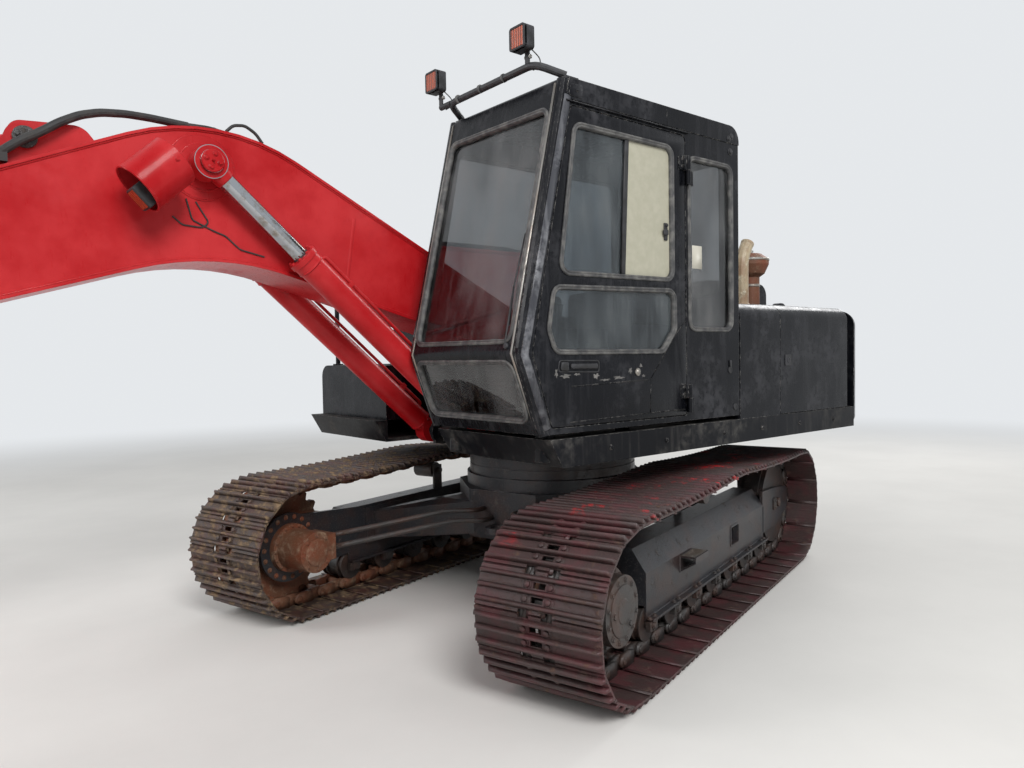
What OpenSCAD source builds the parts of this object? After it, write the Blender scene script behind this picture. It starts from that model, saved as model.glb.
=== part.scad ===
// Crawler excavator of the 18-tonne class.
// X points forward along the boom, Y to the left, Z up. The origin is the slewing axis at ground level.

/* [Tracks] */
// Turn of the tracks under the upperstructure, seen from above
track_turn = 16; // [0:1:30]
// Distance between the centres of the two tracks
gauge = 2200; // [2150:10:2250]
// Width of a track shoe
shoe_w = 650; // [500:10:650]
// Distance between the sprocket and the idler
tumbler_span = 2940; // [2850:10:3000]
// Distance of the sprocket ahead of the slewing axis
sprocket_x = 1560; // [1500:10:1600]
// Radius of the shoes' inner faces round the sprocket and the idler
tumbler_r = 397; // [385:1:405]
// Length of one shoe along the chain
shoe_pitch = 190; // [180:1:200]
// Thickness of a shoe's plate
plate_t = 10; // [8:1:14]
// Height of a grouser above the plate
grouser_h = 25; // [18:1:30]
// Height of the chain's links below the plate
link_h = 75; // [65:1:80]
// Width of one row of links
link_w = 32; // [28:1:36]
// Distance of a row of links from the track's centre
link_y = 72; // [70:1:76]
// Place of the carrier roller, ahead of the slewing axis
carrier_x = 100; // [-100:10:300]
// Height that the carrier roller lifts the upper run
carrier_lift = 38; // [20:1:50]
// Sag of the upper run between its supports
run_sag = 15; // [5:1:25]

/* [Track frames] */
// From the idler's axle to the beam's rear end
idler_room = 370; // [365:1:385]
// From the beam's front end to the sprocket's axle
sprocket_room = 500; // [480:1:540]
// Half width of the side frame's beam
beam_half = 112; // [110:1:118]
// Height of the beam's lower edge
beam_low = 216; // [212:1:222]
// Height where the beam's outer plate turns inward
beam_shoulder = 466; // [440:1:480]
// Height of the beam's top
beam_top = 585; // [560:1:600]
// Number of lower rollers on a side
roller_count = 7; // [5:1:8]
// Radius of a lower roller's tread
roller_r = 80; // [75:1:82]
// Radius of a carrier roller's tread
carrier_r = 60; // [55:1:65]

/* [Carbody] */
// Radius of the slewing ring
ring_r = 590; // [560:1:600]
// Height of the carbody's top
carbody_top = 800; // [780:1:810]
// Height of the slewing ring
ring_h = 130; // [120:1:140]

/* [Upperstructure] */
// Half width of the upperstructure
upper_half = 1330; // [1300:1:1350]
// Height of the deck's lower face
deck_z = 1053; // [1053:1:1060]
// Thickness of the deck plate
deck_t = 22; // [16:1:30]
// Height of the side skirts
skirt_h = 143; // [130:1:150]
// Front end of the skirts at their lower edge
deck_front = 1145; // [1130:1:1160]
// Rear end of the skirts
deck_rear = -1800; // [-1810:1:-1790]
// How far behind the centre of the tail's arc it meets the sides
tail_side = 509; // [490:1:530]
// Centre of the tail's arc
tail_x = -1300; // [-1310:1:-1290]
// Height of the counterweight's top
tail_top = 1900; // [1880:1:1920]
// Height of the housings' tops
house_top = 1915; // [1900:1:1930]
// Rear edge of the fixed left panel
panel_x = -810; // [-830:1:-790]
// Thickness of the doors, panels and hood
panel_t = 40; // [30:1:50]

/* [Cab] */
// Inner side of the cab, beside the boom
cab_y = 365; // [365:1:370]
// Height of the cab's floor above ground
cab_floor = 1222; // [1220:1:1226]
// Height of the roof
roof_z = 2966; // [2940:1:2980]
// Rear face of the cab
cab_rear = -349; // [-355:1:-345]
// Front edge of the roof
roof_front = 1106; // [1090:1:1120]
// Foremost line of the windscreen
knee_x = 1422; // [1410:1:1430]
// Height of that line
knee_z = 1621; // [1600:1:1640]
// Front edge of the cab's floor
cab_toe = 1277; // [1265:1:1290]
// Thickness of the cab's walls and door
wall_t = 50; // [45:1:55]
// Hinge line of the cab's door
door_x = 165; // [150:1:180]

/* [Boom] */
// Foot pin ahead of the slewing axis
boom_foot_x = 150; // [140:1:160]
// Height of the foot pin
boom_foot_z = 1600; // [1590:1:1610]
// Tip pin ahead of the slewing axis
boom_tip_x = 5420; // [5400:1:5440]
// Height of the tip pin
boom_tip_z = 1370; // [1360:1:1380]
// Half width of the boom
boom_half = 200; // [196:1:202]
// Boom cylinder's rod pin, ahead of the slewing axis
rod_pin_x = 2465; // [2460:1:2470]
// Height of that pin
rod_pin_z = 2555; // [2550:1:2560]
// Boom cylinder's foot pin ahead of the slewing axis
cyl_foot_x = 860; // [855:1:865]
// Height of that pin
cyl_foot_z = 1120; // [1118:1:1125]
// Distance of the boom cylinders from the middle
cyl_y = 285; // [284:1:286]

/* [Arm] */
// Arm length from the boom's tip pin to the bucket pin
arm_len = 2420; // [2350:10:2450]
// Angle of the arm below the horizontal
arm_drop = 23; // [22:0.5:24]
// Half width of the arm
arm_half = 140; // [136:1:142]
// Distance of the arm cylinder's rod pin from the boom's tip pin
arm_lug_r = 720; // [710:1:730]
// Angle of that pin from the arm's centre line
arm_lug_angle = 148; // [147:1:149]

/* [Bucket] */
// Width of the bucket
bucket_w = 1050; // [800:10:1150]
// Distance from the bucket pin to the teeth's tips
bucket_r = 1400; // [1380:1:1405]
// Angle of that line below the horizontal
bucket_drop = 17; // [16.5:0.1:17]
// Thickness of the bucket's plates
bucket_t = 20; // [16:1:25]
// Number of teeth
tooth_count = 5; // [4:1:6]

/* [Hidden] */
$fn = 48;

// Clearances
seat_gap = 0.3;     // between pieces that lie on one another
pin_gap = 0.05;     // round a pin in its bore
move_gap = 5;       // between pieces that pass one another

// Helper shapes
// An outline in X and Z, extruded along Y and centred on y
module slab(w, y = 0) {
  translate([0, y + w / 2, 0]) rotate([90, 0, 0]) linear_extrude(w) children();
}
// The same slab on both sides of the middle
module slab_pair(w, y) {
  slab(w, y) children();
  slab(w, -y) children();
}
// A round bar along Y
module bar_y(r, w, y = 0) {
  translate([0, y, 0]) rotate([90, 0, 0]) cylinder(r = r, h = w, center = true);
}
// A round bar between two points
module bar(a, b, r) {
  d = b - a;
  translate(a)
    rotate([0, acos(d.z / norm(d)), atan2(d.y, d.x)])
      cylinder(r = r, h = norm(d));
}
// A bent tube through several points, with its bends rounded over the length d
tube_sides = 12;
bend_steps = 4;
function rounded(route, d) = concat(
  [route[0]],
  [for (i = [1 : len(route) - 2], k = [0 : bend_steps])
    let(p = route[i], a = p + unit(route[i - 1] - p) * d, b = p + unit(route[i + 1] - p) * d, t = k / bend_steps)
      mix(mix(a, p, t), mix(p, b, t), t)],
  [route[len(route) - 1]]
);
function tangents(p) = [
  for (i = [0 : len(p) - 1])
    unit((i < len(p) - 1 ? unit(p[i + 1] - p[i]) : [0, 0, 0]) + (i > 0 ? unit(p[i] - p[i - 1]) : [0, 0, 0]))
];
function square_to(t, v) = unit(v - (v * t) * t);
function carried(t, n, i = 0) =
  i >= len(t) ? [] : let(m = square_to(t[i], n)) concat([m], carried(t, m, i + 1));
module tube(route, r, d) {
  line = rounded(route, d);
  t = tangents(line);
  m = carried(t, abs(t[0].z) < 0.9 ? [0, 0, 1] : [1, 0, 0]);
  n = tube_sides;
  last = (len(line) - 1) * n;
  polyhedron(
    [for (i = [0 : len(line) - 1], k = [0 : n - 1])
      line[i] + r * (cos(360 * k / n) * m[i] + sin(360 * k / n) * cross(t[i], m[i]))],
    concat(
      [[for (k = [0 : n - 1]) k]],
      [for (i = [0 : len(line) - 2], k = [0 : n - 1])
        [i * n + k, (i + 1) * n + k, (i + 1) * n + (k + 1) % n, i * n + (k + 1) % n]],
      [[for (k = [n - 1 : -1 : 0]) last + k]]
    )
  );
}
module at(p) {
  translate([p.x, 0, p.y]) children();
}
// A box from its low and high corners
module block(lo, hi) {
  translate(lo) cube(hi - lo);
}
function polar(r, a) = [r * cos(a), r * sin(a)];
function mix(a, b, t) = a + (b - a) * t;
function turned(p, a) = [p.x * cos(a) - p.y * sin(a), p.x * sin(a) + p.y * cos(a)];
function unit(v) = v / norm(v);
// Arc of radius r in the corner p of the line a, p, b
corner_steps = 8;
function corner_arc(a, p, b, r) =
  let(u = unit(p - a), v = unit(b - p), turn = atan2(u.x * v.y - u.y * v.x, u * v),
      start = p - u * r * tan(abs(turn) / 2), c = start + [-u.y, u.x] * r * sign(turn))
    [for (k = [0 : corner_steps]) c + turned(start - c, turn * k / corner_steps)];
// Closed outline with its corners rounded: one radius for all, or a list with one for each
function filleted(pts, r) = [
  for (i = [0 : len(pts) - 1])
    let(n = len(pts), q = is_list(r) ? r[i] : r)
      each (q == 0 ? [pts[i]] : corner_arc(pts[(i + n - 1) % n], pts[i], pts[(i + 1) % n], q))
];
// Outline moved inward by d; it runs counter-clockwise
function inset_by(pts, d) = [
  for (i = [0 : len(pts) - 1])
    let(n = len(pts), u = unit(pts[i] - pts[(i + n - 1) % n]), v = unit(pts[(i + 1) % n] - pts[i]),
        a = [-u.y, u.x], b = [-v.y, v.x])
      pts[i] + (a + b) * d / (1 + a * b)
];

// Track chain
ground_z = grouser_h + plate_t;
tumbler_z = ground_z + tumbler_r;
idler_x = sprocket_x - tumbler_span;
beam_rear = idler_x + idler_room;
beam_front = sprocket_x - sprocket_room;
arc_steps = 24;
run_steps = 12;
function sag_run(a, b) = [
  for (i = [1 : run_steps]) let(t = i / run_steps)
    mix(a, b, t) - [0, 4 * run_sag * t * (1 - t)]
];
sprocket_top = [sprocket_x, tumbler_z + tumbler_r];
carrier_top = [carrier_x, tumbler_z + tumbler_r + carrier_lift];
idler_top = [idler_x, tumbler_z + tumbler_r];
chain_line = concat(
  [[idler_x, ground_z]],
  [for (i = [0 : arc_steps])
    [sprocket_x, tumbler_z] + polar(tumbler_r, -90 + 180 * i / arc_steps)],
  sag_run(sprocket_top, carrier_top),
  sag_run(carrier_top, idler_top),
  [for (i = [1 : arc_steps - 1])
    [idler_x, tumbler_z] + polar(tumbler_r, 90 + 180 * i / arc_steps)]
);
line_n = len(chain_line);
function line_step(i) = norm(chain_line[(i + 1) % line_n] - chain_line[i]);
function running(i = 0, s = 0) = i >= line_n ? [s] : concat([s], running(i + 1, s + line_step(i)));
line_at = running();
function on_line(s, i = 0) =
  s <= line_at[i + 1] || i + 1 >= line_n
    ? mix(chain_line[i], chain_line[(i + 1) % line_n], (s - line_at[i]) / line_step(i))
    : on_line(s, i + 1);
shoe_n = round(line_at[line_n] / shoe_pitch);
shoe_len = line_at[line_n] / shoe_n;
joint = [for (i = [0 : shoe_n - 1]) on_line(i * shoe_len)];
function shoe_dir(i) = let(d = joint[(i + 1) % shoe_n] - joint[i]) d / norm(d);
function outward(d) = [d.y, -d.x];
function on_shoe(i, p) = joint[i] + shoe_dir(i) * p.x + outward(shoe_dir(i)) * p.y;
function in_chain(i, h) =
  let(n = outward(shoe_dir(i)) + outward(shoe_dir((i + shoe_n - 1) % shoe_n)))
    joint[i] - n / norm(n) * h;
// Grousers: place along the shoe as a share of its length
grouser_at = [0.17, 0.5, 0.83];
grouser_half = 11;
shoe_gap = 8;
function shoe_outline(i) =
  let(l = norm(joint[(i + 1) % shoe_n] - joint[i]))
    concat(
      [on_shoe(i, [shoe_gap / 2, 3]), on_shoe(i, [shoe_gap / 2, plate_t])],
      [for (g = grouser_at, q = [[-1, 0], [0, 1], [1, 0]])
        on_shoe(i, [g * l + q.x * grouser_half, plate_t + q.y * grouser_h])],
      [on_shoe(i, [l - shoe_gap / 2, plate_t]), on_shoe(i, [l - shoe_gap / 2, 3])]
    );
function rail_height(x) =
  [for (i = [0 : shoe_n - 1])
    let(a = in_chain(i, link_h), b = in_chain((i + 1) % shoe_n, link_h))
      if (a.x >= x && b.x < x && a.y > tumbler_z) mix(a, b, (a.x - x) / (a.x - b.x)).y][0];
link_arc = (tumbler_r - link_h) * cos(90 * shoe_len / tumbler_r / PI);
idler_r = link_arc - 4;

module on_tracks() {
  rotate([0, 0, track_turn]) children();
}
module side(s) {
  on_tracks() mirror([0, s < 0 ? 1 : 0, 0]) translate([0, gauge / 2, 0]) children();
}

module track(s) {
  color([0.36, 0.27, 0.22]) side(s) {
    slab(shoe_w) difference() {
      polygon([for (i = [0 : shoe_n - 1]) each shoe_outline(i)]);
      polygon([for (i = [0 : shoe_n - 1]) joint[i]]);
    }
    for (y = [-link_y, link_y]) slab(link_w, y) difference() {
      polygon([for (i = [0 : shoe_n - 1]) in_chain(i, -1.5)]);
      polygon([for (i = [0 : shoe_n - 1]) in_chain(i, link_h)]);
    }
  }
}

// Sprocket, final drive and idler
tooth_n = 23;
tooth_tip_r = tumbler_r - 25;
tooth_root_r = tumbler_r - 62;
drive_r = 165;
drive_out = 223;
motor_in = beam_half - 27;

module sprocket(s) {
  color([0.30, 0.26, 0.24]) side(s) translate([sprocket_x, 0, tumbler_z]) {
    slab(50) polygon([for (i = [0 : tooth_n - 1], q = [[-0.3, 0], [-0.1, 1], [0.1, 1], [0.3, 0]])
      polar(mix(tooth_root_r, tooth_tip_r, q.y), (i + q.x) * 360 / tooth_n)]);
    bar_y(230, 60, 30);
    bar_y(195, 120, 85);
    bar_y(drive_r, drive_out - 100, (drive_out + 100) / 2);
    bar_y(185, motor_in, -motor_in / 2);
  }
}

axle_r = 35;
module idler(s) {
  color([0.32, 0.25, 0.21]) side(s) translate([idler_x, 0, tumbler_z]) {
    bar_y(idler_r, 2 * (link_y + 12));
    bar_y(idler_r + 20, 2 * (link_y - link_w / 2 - 4));
    bar_y(70, 2 * (beam_half - 24));
    bar_y(axle_r, 2 * beam_half + 40);
  }
}

// Side frame of a track
channel_half = beam_half - 12;
channel_top = 292;
flange_w = 40;
flange_t = 14;
motor_plate_r = 215;
motor_plate_t = 24;
yoke_t = 22;
yoke_reach = idler_r - 20;
yoke_rise = 85;
yoke_lift = 45;
yoke_nose = 60;
step_x = 400;
step_len = 200;
step_out = 95;
step_top = 455;
step_h = 95;
step_lip = 35;
step_t = 8;
hatch_x = -355;
hatch_len = 150;
hatch_z = 383;
hatch_h = 115;
hatch_deep = 60;

module beam_section() {
  difference() {
    union() {
      polygon([
        [-beam_half, beam_low], [beam_half, beam_low], [beam_half, beam_shoulder],
        [30, beam_top], [-beam_half, beam_top]
      ]);
      for (m = [0, 1]) mirror([m, 0])
        translate([beam_half, beam_low]) square([flange_w, flange_t]);
    }
    translate([-channel_half, 0]) square([2 * channel_half, channel_top]);
  }
}

function step_corners() = [
  [beam_half - step_t / 2, step_top - step_h], [beam_half + step_out, step_top - step_lip],
  [beam_half + step_out, step_top], [beam_half - step_t / 2, step_top]
];
module track_frame(s) {
  color([0.20, 0.19, 0.19]) side(s) difference() {
    union() {
      translate([beam_rear, 0, 0]) rotate([90, 0, 90])
        linear_extrude(beam_front - beam_rear) beam_section();
      slab(motor_plate_t, -beam_half + motor_plate_t / 2) {
        translate([sprocket_x, tumbler_z]) circle(r = motor_plate_r);
        polygon([
          [beam_front - 100, channel_top], [sprocket_x, tumbler_z - motor_plate_r + 20],
          [sprocket_x, tumbler_z + motor_plate_r - 20], [beam_front - 100, beam_top]
        ]);
      }
      slab_pair(yoke_t, beam_half - yoke_t / 2)
        polygon(filleted([
          [beam_rear + 10, beam_low + yoke_lift], [idler_x + 60, beam_low + yoke_lift],
          [idler_x - yoke_reach, tumbler_z - yoke_rise], [idler_x - yoke_reach, tumbler_z + yoke_rise],
          [idler_x + 60, beam_top - 30], [beam_rear + 10, beam_top - 15]
        ], [0, 200, yoke_nose, yoke_nose, 200, 0]));
      // folded step on the outer face
      translate([step_x, 0, 0]) rotate([90, 0, 90]) linear_extrude(step_len) difference() {
        polygon(step_corners());
        polygon(inset_by(step_corners(), step_t));
      }
    }
    // way in to the track adjuster
    block([hatch_x - hatch_len / 2, beam_half - hatch_deep, hatch_z - hatch_h / 2],
      [hatch_x + hatch_len / 2, beam_half + 1, hatch_z + hatch_h / 2]);
    translate([idler_x, 0, tumbler_z]) bar_y(axle_r + pin_gap, 2 * beam_half + 20);
    translate([sprocket_x, 0, tumbler_z]) bar_y(120, 2 * beam_half + 20);
  }
}

// Rollers
roller_z = ground_z + link_h + seat_gap + roller_r;
roller_first = beam_rear + 80;
roller_last = beam_front - 30;
shaft_r = 25;
saddle_low = roller_z - 26;
module roller() {
  bar_y(70, 2 * (link_y - 30));
  bar_y(roller_r, 2 * (link_y + link_w / 2 + 1.5));
  for (y = [-1, 1]) {
    bar_y(roller_r + 12, 12, y * (link_y - link_w / 2 - 8));
    bar_y(roller_r + 12, 8, y * (link_y + link_w / 2 + 5.5));
    bar_y(shaft_r, 60, y * (beam_half + 5));
    translate([-45, y * (beam_half + 16) - 14, saddle_low - roller_z])
      cube([90, 28, beam_low - saddle_low]);
  }
}
module track_rollers(s) {
  color([0.28, 0.24, 0.21]) side(s) for (i = [0 : roller_count - 1])
    translate([mix(roller_first, roller_last, i / (roller_count - 1)), 0, roller_z]) roller();
}

carrier_z = rail_height(carrier_x) - seat_gap - 1 - carrier_r;
module carrier_rollers() {
  color([0.28, 0.24, 0.21]) for (s = [-1, 1]) side(s) translate([carrier_x, 0, carrier_z]) {
    bar_y(carrier_r, 2 * (link_y + link_w / 2));
    bar_y(22, 60, -link_y - link_w / 2 - 20);
    block([-45, -beam_half, beam_top - carrier_z], [45, -beam_half + 16, 40]);
  }
}

// Carbody with its four legs
body_r = 690;
body_low = 400;
leg_in = 470;
body_face = body_r * cos(22.5);
tie_t = 40;
tie_half = 65;
tie_r = 32;
tie_x = body_face + 75;
tie_z = body_low + 65;
leg_out = gauge / 2 - beam_half;
module carbody() {
  color([0.21, 0.20, 0.20]) on_tracks() {
    rotate([0, 0, 22.5]) translate([0, 0, body_low])
      cylinder(r = body_r, h = carbody_top - 80 - body_low, $fn = 8);
    translate([0, 0, carbody_top - 100]) cylinder(r = ring_r + 20, h = 100);
    for (sx = [-1, 1], sy = [-1, 1]) {
      hull() {
        translate([sx * leg_in, sy * leg_in * 0.75, body_low + 130])
          cube([330, 260, 220], center = true);
        translate([sx * 690, sy * (leg_out - 20), body_low + 40])
          cube([300, 40, 190], center = true);
      }
      translate([sx * 690, sy * (leg_out - 10), body_low + 40])
        cube([420, 20, 250], center = true);
    }
    // eye for tying the machine down
    translate([0, 0, tie_z]) linear_extrude(tie_t) difference() {
      polygon(filleted([
        [body_face - 10, -tie_half], [tie_x + tie_half, -tie_half], [tie_x + tie_half, tie_half],
        [body_face - 10, tie_half]
      ], [0, 60, 60, 0]));
      translate([tie_x, 0]) circle(r = tie_r);
    }
  }
}

module slewing_ring() {
  color([0.30, 0.28, 0.27]) difference() {
    translate([0, 0, carbody_top + seat_gap]) cylinder(r = ring_r, h = ring_h - seat_gap);
    translate([0, 0, carbody_top - 1]) cylinder(r = ring_r - 110, h = ring_h + 2);
    translate([0, 0, carbody_top + 60]) rotate_extrude() translate([ring_r - 6, 0]) square([20, 12]);
  }
}

// Travel motors behind the sprockets, and their pipes to the centre
motor_len = 260;
module travel_motors() {
  color([0.42, 0.33, 0.25]) for (s = [-1, 1]) side(s) translate([sprocket_x, 0, tumbler_z]) {
    bar_y(110, motor_in, -motor_in - motor_in / 2);
    bar_y(150, 40, -beam_half - 20.2);
    bar_y(125, motor_len - 40, -beam_half - 40 - (motor_len - 40) / 2);
    block([-150, -beam_half - motor_len, -70], [-60, -beam_half - 70, 90]);
  }
}
pipe_r = 17;
pipe_y = gauge / 2 - beam_half - 190;
module travel_pipes() {
  color([0.30, 0.27, 0.24]) on_tracks() for (s = [-1, 1], k = [0, 1])
    let(x = sprocket_x - 150 - seat_gap, y = pipe_y - 60 * k, z = tumbler_z + 60 - 60 * k,
        face = body_face + seat_gap)
      tube([
        [x, s * y, z], [x - 60, s * y, z], [face + 200, s * (300 - 60 * k), z + 110],
        [face + 90, s * (140 - 60 * k), z + 110], [face, s * (140 - 60 * k), z + 110]
      ], pipe_r, 40);
}

// Revolving frame
house_rear = -1700;
house_in = 705;
ring_seat_z = carbody_top + ring_h + seat_gap;
deck_top = deck_z + deck_t;
skirt_top = deck_z + skirt_h;
skirt_rake = 82;
skirt_t = 12;
skirt_in = 80;
web_y = boom_half + 30;
web_t = 35;
web_h = 170;
nose_y = 135;
nose_t = 30;
door_rod_x = house_rear + 25;
door_rod_y = upper_half - panel_t / 2;
door_rod_r = 8;
door_rod_h = 600;
foot_pin_r = 45;
cyl_pin_r = 35;
mount_r = 50;
skirt_outline = [
  [deck_rear, deck_z], [deck_front, deck_z], [deck_front + skirt_rake, skirt_top],
  [deck_rear, skirt_top]
];
module skirt_profile() {
  polygon(skirt_outline);
}
module revolving_frame() {
  color([0.10, 0.10, 0.11]) {
    difference() {
      union() {
        translate([0, 0, ring_seat_z]) cylinder(r = ring_r + 15, h = deck_z - ring_seat_z);
        block([deck_rear, -upper_half + skirt_t, deck_z], [600, upper_half - skirt_t, deck_top]);
        block([600, cab_y, deck_z], [deck_front - 5, upper_half - skirt_t, deck_top]);
        block([600, -upper_half + skirt_t, deck_z], [deck_front - 5, -cab_y, deck_top]);
      }
      translate([0, 0, ring_seat_z - 1]) cylinder(r = 300, h = 300);
    }
    // side skirts: plate and top flange
    slab_pair(skirt_t, upper_half - skirt_t / 2) skirt_profile();
    slab_pair(skirt_in, upper_half - skirt_in / 2) intersection() {
      skirt_profile();
      translate([deck_rear, skirt_top - skirt_t]) square([4000, skirt_t]);
    }
    // front cross plates
    slab_pair(upper_half - cab_y, (upper_half + cab_y) / 2) intersection() {
      skirt_profile();
      translate([deck_front - 10, deck_z]) square([200, skirt_h]);
    }
    // boom-foot webs
    difference() {
      slab_pair(web_t, web_y) {
        polygon([
          [deck_rear + 20, deck_top], [620, deck_top], [300, boom_foot_z - 60],
          [0, boom_foot_z - 60], [-520, deck_top + web_h], [deck_rear + 20, deck_top + web_h]
        ]);
        translate([boom_foot_x, boom_foot_z]) circle(r = 130);
      }
      at([boom_foot_x, boom_foot_z]) bar_y(foot_pin_r - 10, 4 * web_y);
    }
    at([boom_foot_x, boom_foot_z]) {
      bar_y(foot_pin_r, 2 * web_y + web_t + 20);
      for (y = [-1, 1]) bar_y(70, 14, y * (web_y + web_t / 2 + 6));
    }
    // nose with the cylinders' foot pin
    slab_pair(nose_t, nose_y) {
      polygon([
        [250, deck_top], [cyl_foot_x + 60, deck_z - 10], [cyl_foot_x + 60, cyl_foot_z + 55],
        [cyl_foot_x - 60, cyl_foot_z + 80], [250, 1330]
      ]);
      at2([cyl_foot_x, cyl_foot_z]) circle(r = 85);
    }
    block([600, -nose_y, deck_z], [cyl_foot_x, nose_y, deck_top]);
    at([cyl_foot_x, cyl_foot_z]) bar_y(cyl_pin_r, 2 * cyl_y + 130);
    // hinge rods of the service doors
    for (s = [-1, 1]) translate([door_rod_x, s * door_rod_y, skirt_top - 1])
      cylinder(r = door_rod_r, h = door_rod_h);
    // cab mounts
    for (x = [cab_rear + 100, cab_toe - 130], y = [cab_y + 90, upper_half - 130])
      translate([x, y, deck_top]) cylinder(r = mount_r, h = cab_floor - deck_top);
  }
}
module at2(p) {
  translate(p) children();
}

// Cab
cab_mid = (cab_y + upper_half) / 2;
cab_w = upper_half - cab_y;
frame_w = 70;
glass_t = 8;
door_gap = 5;
pillar_r = 33;
pillar_set = 35;
roof_r = 90;
cab_corners = [
  [cab_rear, cab_floor], [cab_toe, cab_floor], [knee_x, knee_z], [roof_front, roof_z], [cab_rear, roof_z]
];
// Side walls end behind the round front pillars
side_corners = [for (p = cab_corners) p - [p.x > cab_rear ? pillar_set : 0, 0]];
// Windscreen direction from the knee to the roof
screen_slope = (roof_front - knee_x) / (roof_z - knee_z);
toe_slope = (knee_x - cab_toe) / (knee_z - cab_floor);
function screen_x(z) = z > knee_z ? knee_x + (z - knee_z) * screen_slope : cab_toe + (z - cab_floor) * toe_slope;
// Outline of the opening in the left wall, grown by d
function door_outline(d) = [
  [door_x - d, cab_floor + 30 - d], [screen_x(cab_floor + 30) - frame_w + d, cab_floor + 30 - d],
  [knee_x - frame_w - 15 + d, knee_z], [screen_x(roof_z - 130) - frame_w + d, roof_z - 130 + d],
  [door_x - d, roof_z - 130 + d]
];
door_window = [
  [door_x + 125, 1772], [screen_x(1736) - frame_w - 65, 1736],
  [screen_x(2800) - frame_w - 60, 2800], [door_x + 125, 2735]
];
door_light = [
  [door_x + 130, 1590], [door_x + 300, 1425], [screen_x(1390) - frame_w - 55, 1390],
  [knee_x - frame_w - 65, knee_z + 10], [screen_x(1690) - frame_w - 75, 1690], [door_x + 130, 1715]
];
rear_side_window = [[cab_rear + 75, 1745], [door_x - 30, 1745], [door_x - 30, 2720], [cab_rear + 75, 2720]];
right_window = [
  [cab_rear + 90, 1600], [screen_x(1600) - 110, 1600], [screen_x(2780) - 90, 2780],
  [cab_rear + 90, 2780]
];
window_r = 55;
// Hinges of the door: the door's knuckle stands on the cab's
hinge_z = [1392 - 40, 2678 - 40];
hinge_h = 80;
hinge_out = 22;
knuckle_r = 14;
hinge_pin_r = 6;
module window(points) {
  polygon(filleted(points, window_r));
}
// The pane fills its opening with a thin gap all round
module pane(points) {
  polygon(filleted(inset_by(points, seat_gap), window_r));
}
module cab_inside() {
  polygon([
    [cab_rear + wall_t, cab_floor + 30], [cab_toe - wall_t, cab_floor + 30],
    [knee_x - wall_t, knee_z], [roof_front - wall_t, roof_z - 60],
    [cab_rear + wall_t, roof_z - 60]
  ]);
}
// Windscreen: an upper and a lower pane, each in its own slanted plane
screen_lean = atan((knee_x - roof_front) / (roof_z - knee_z));
toe_lean = -atan((knee_x - cab_toe) / (knee_z - cab_floor));
screen_side = 72;
screen_up = [60, norm([knee_x - roof_front, roof_z - knee_z]) - 150];
screen_down = [70, norm([knee_x - cab_toe, knee_z - cab_floor]) - 45];
rear_band = [1960, 2780];
band_h = 105;
band_out = 6;
module on_screen(foot, lean, t0, t1) {
  translate([foot.x, 0, foot.y]) rotate([0, -lean, 0]) rotate([90, 0, 90])
    translate([0, 0, t0]) linear_extrude(t1 - t0) children();
}
function screen_outline(v) = [
  [cab_y + screen_side, v[0]], [upper_half - screen_side, v[0]],
  [upper_half - screen_side, v[1]], [cab_y + screen_side, v[1]]
];
function rear_outline() = [
  [cab_y + 110, rear_band[0]], [upper_half - 110, rear_band[0]],
  [upper_half - 110, rear_band[1]], [cab_y + 110, rear_band[1]]
];
module hatch_outline() {
  polygon(filleted([
    [cab_rear + 350, cab_y + 180], [roof_front - 330, cab_y + 180],
    [roof_front - 330, upper_half - 180], [cab_rear + 350, upper_half - 180]
  ], 60));
}
module cab_shell() {
  color([0.11, 0.11, 0.12]) {
    for (z = hinge_z) {
      translate([door_x, upper_half + hinge_out, z - hinge_h]) {
        cylinder(r = knuckle_r, h = hinge_h - seat_gap);
        cylinder(r = hinge_pin_r, h = 2 * hinge_h - 5);
      }
      block([door_x - 60, upper_half - 1, z - hinge_h], [door_x - 2, upper_half + 8, z - seat_gap]);
      block([door_x - 14, upper_half, z - hinge_h], [door_x, upper_half + hinge_out, z - seat_gap]);
    }
    difference() {
      union() {
        slab(cab_w, cab_mid) polygon(filleted(side_corners, [0, 0, 60, 0, roof_r]));
        slab(cab_w - 2 * pillar_set, cab_mid) polygon(filleted(cab_corners, [0, 0, 60, 25, roof_r]));
        // roof band, a little proud of the walls
        slab(cab_w + 2 * band_out, cab_mid) intersection() {
          polygon(filleted(side_corners, [0, 0, 60, 0, roof_r]));
          translate([cab_rear, roof_z - band_h]) square([2000, band_h]);
        }
      }
      slab(cab_w - 2 * wall_t, cab_mid) cab_inside();
      slab(4 * wall_t, upper_half) polygon(filleted(door_outline(0), [20, 20, 60, 35, 35]));
      slab(4 * wall_t, upper_half) window(rear_side_window);
      slab(4 * wall_t, cab_y) window(right_window);
      on_screen([knee_x, knee_z], screen_lean, -200, 100) window(screen_outline(screen_up));
      on_screen([cab_toe, cab_floor], toe_lean, -150, 100) window(screen_outline(screen_down));
      along_x(cab_rear - 50, cab_rear + 100) window(rear_outline());
    }
    // round front pillars
    for (y = [cab_y + pillar_r - 2, upper_half - pillar_r + 2]) tube([
      [cab_toe - pillar_r - 2, y, cab_floor + 2], [knee_x - pillar_r - 2, y, knee_z],
      [roof_front - pillar_r + 4, y, roof_z - 8]
    ], pillar_r, 45);
    translate([0, 0, roof_z - 1]) linear_extrude(26) hatch_outline();
  }
}
module cab_glass() {
  color([0.55, 0.65, 0.70, 0.4]) {
    slab(glass_t, upper_half - 20) pane(rear_side_window);
    slab(glass_t, cab_y + 20) pane(right_window);
    on_screen([knee_x, knee_z], screen_lean, -26, -18) pane(screen_outline(screen_up));
    on_screen([cab_toe, cab_floor], toe_lean, -26, -18) pane(screen_outline(screen_down));
    along_x(cab_rear + 16, cab_rear + 24) pane(rear_outline());
  }
}

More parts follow.
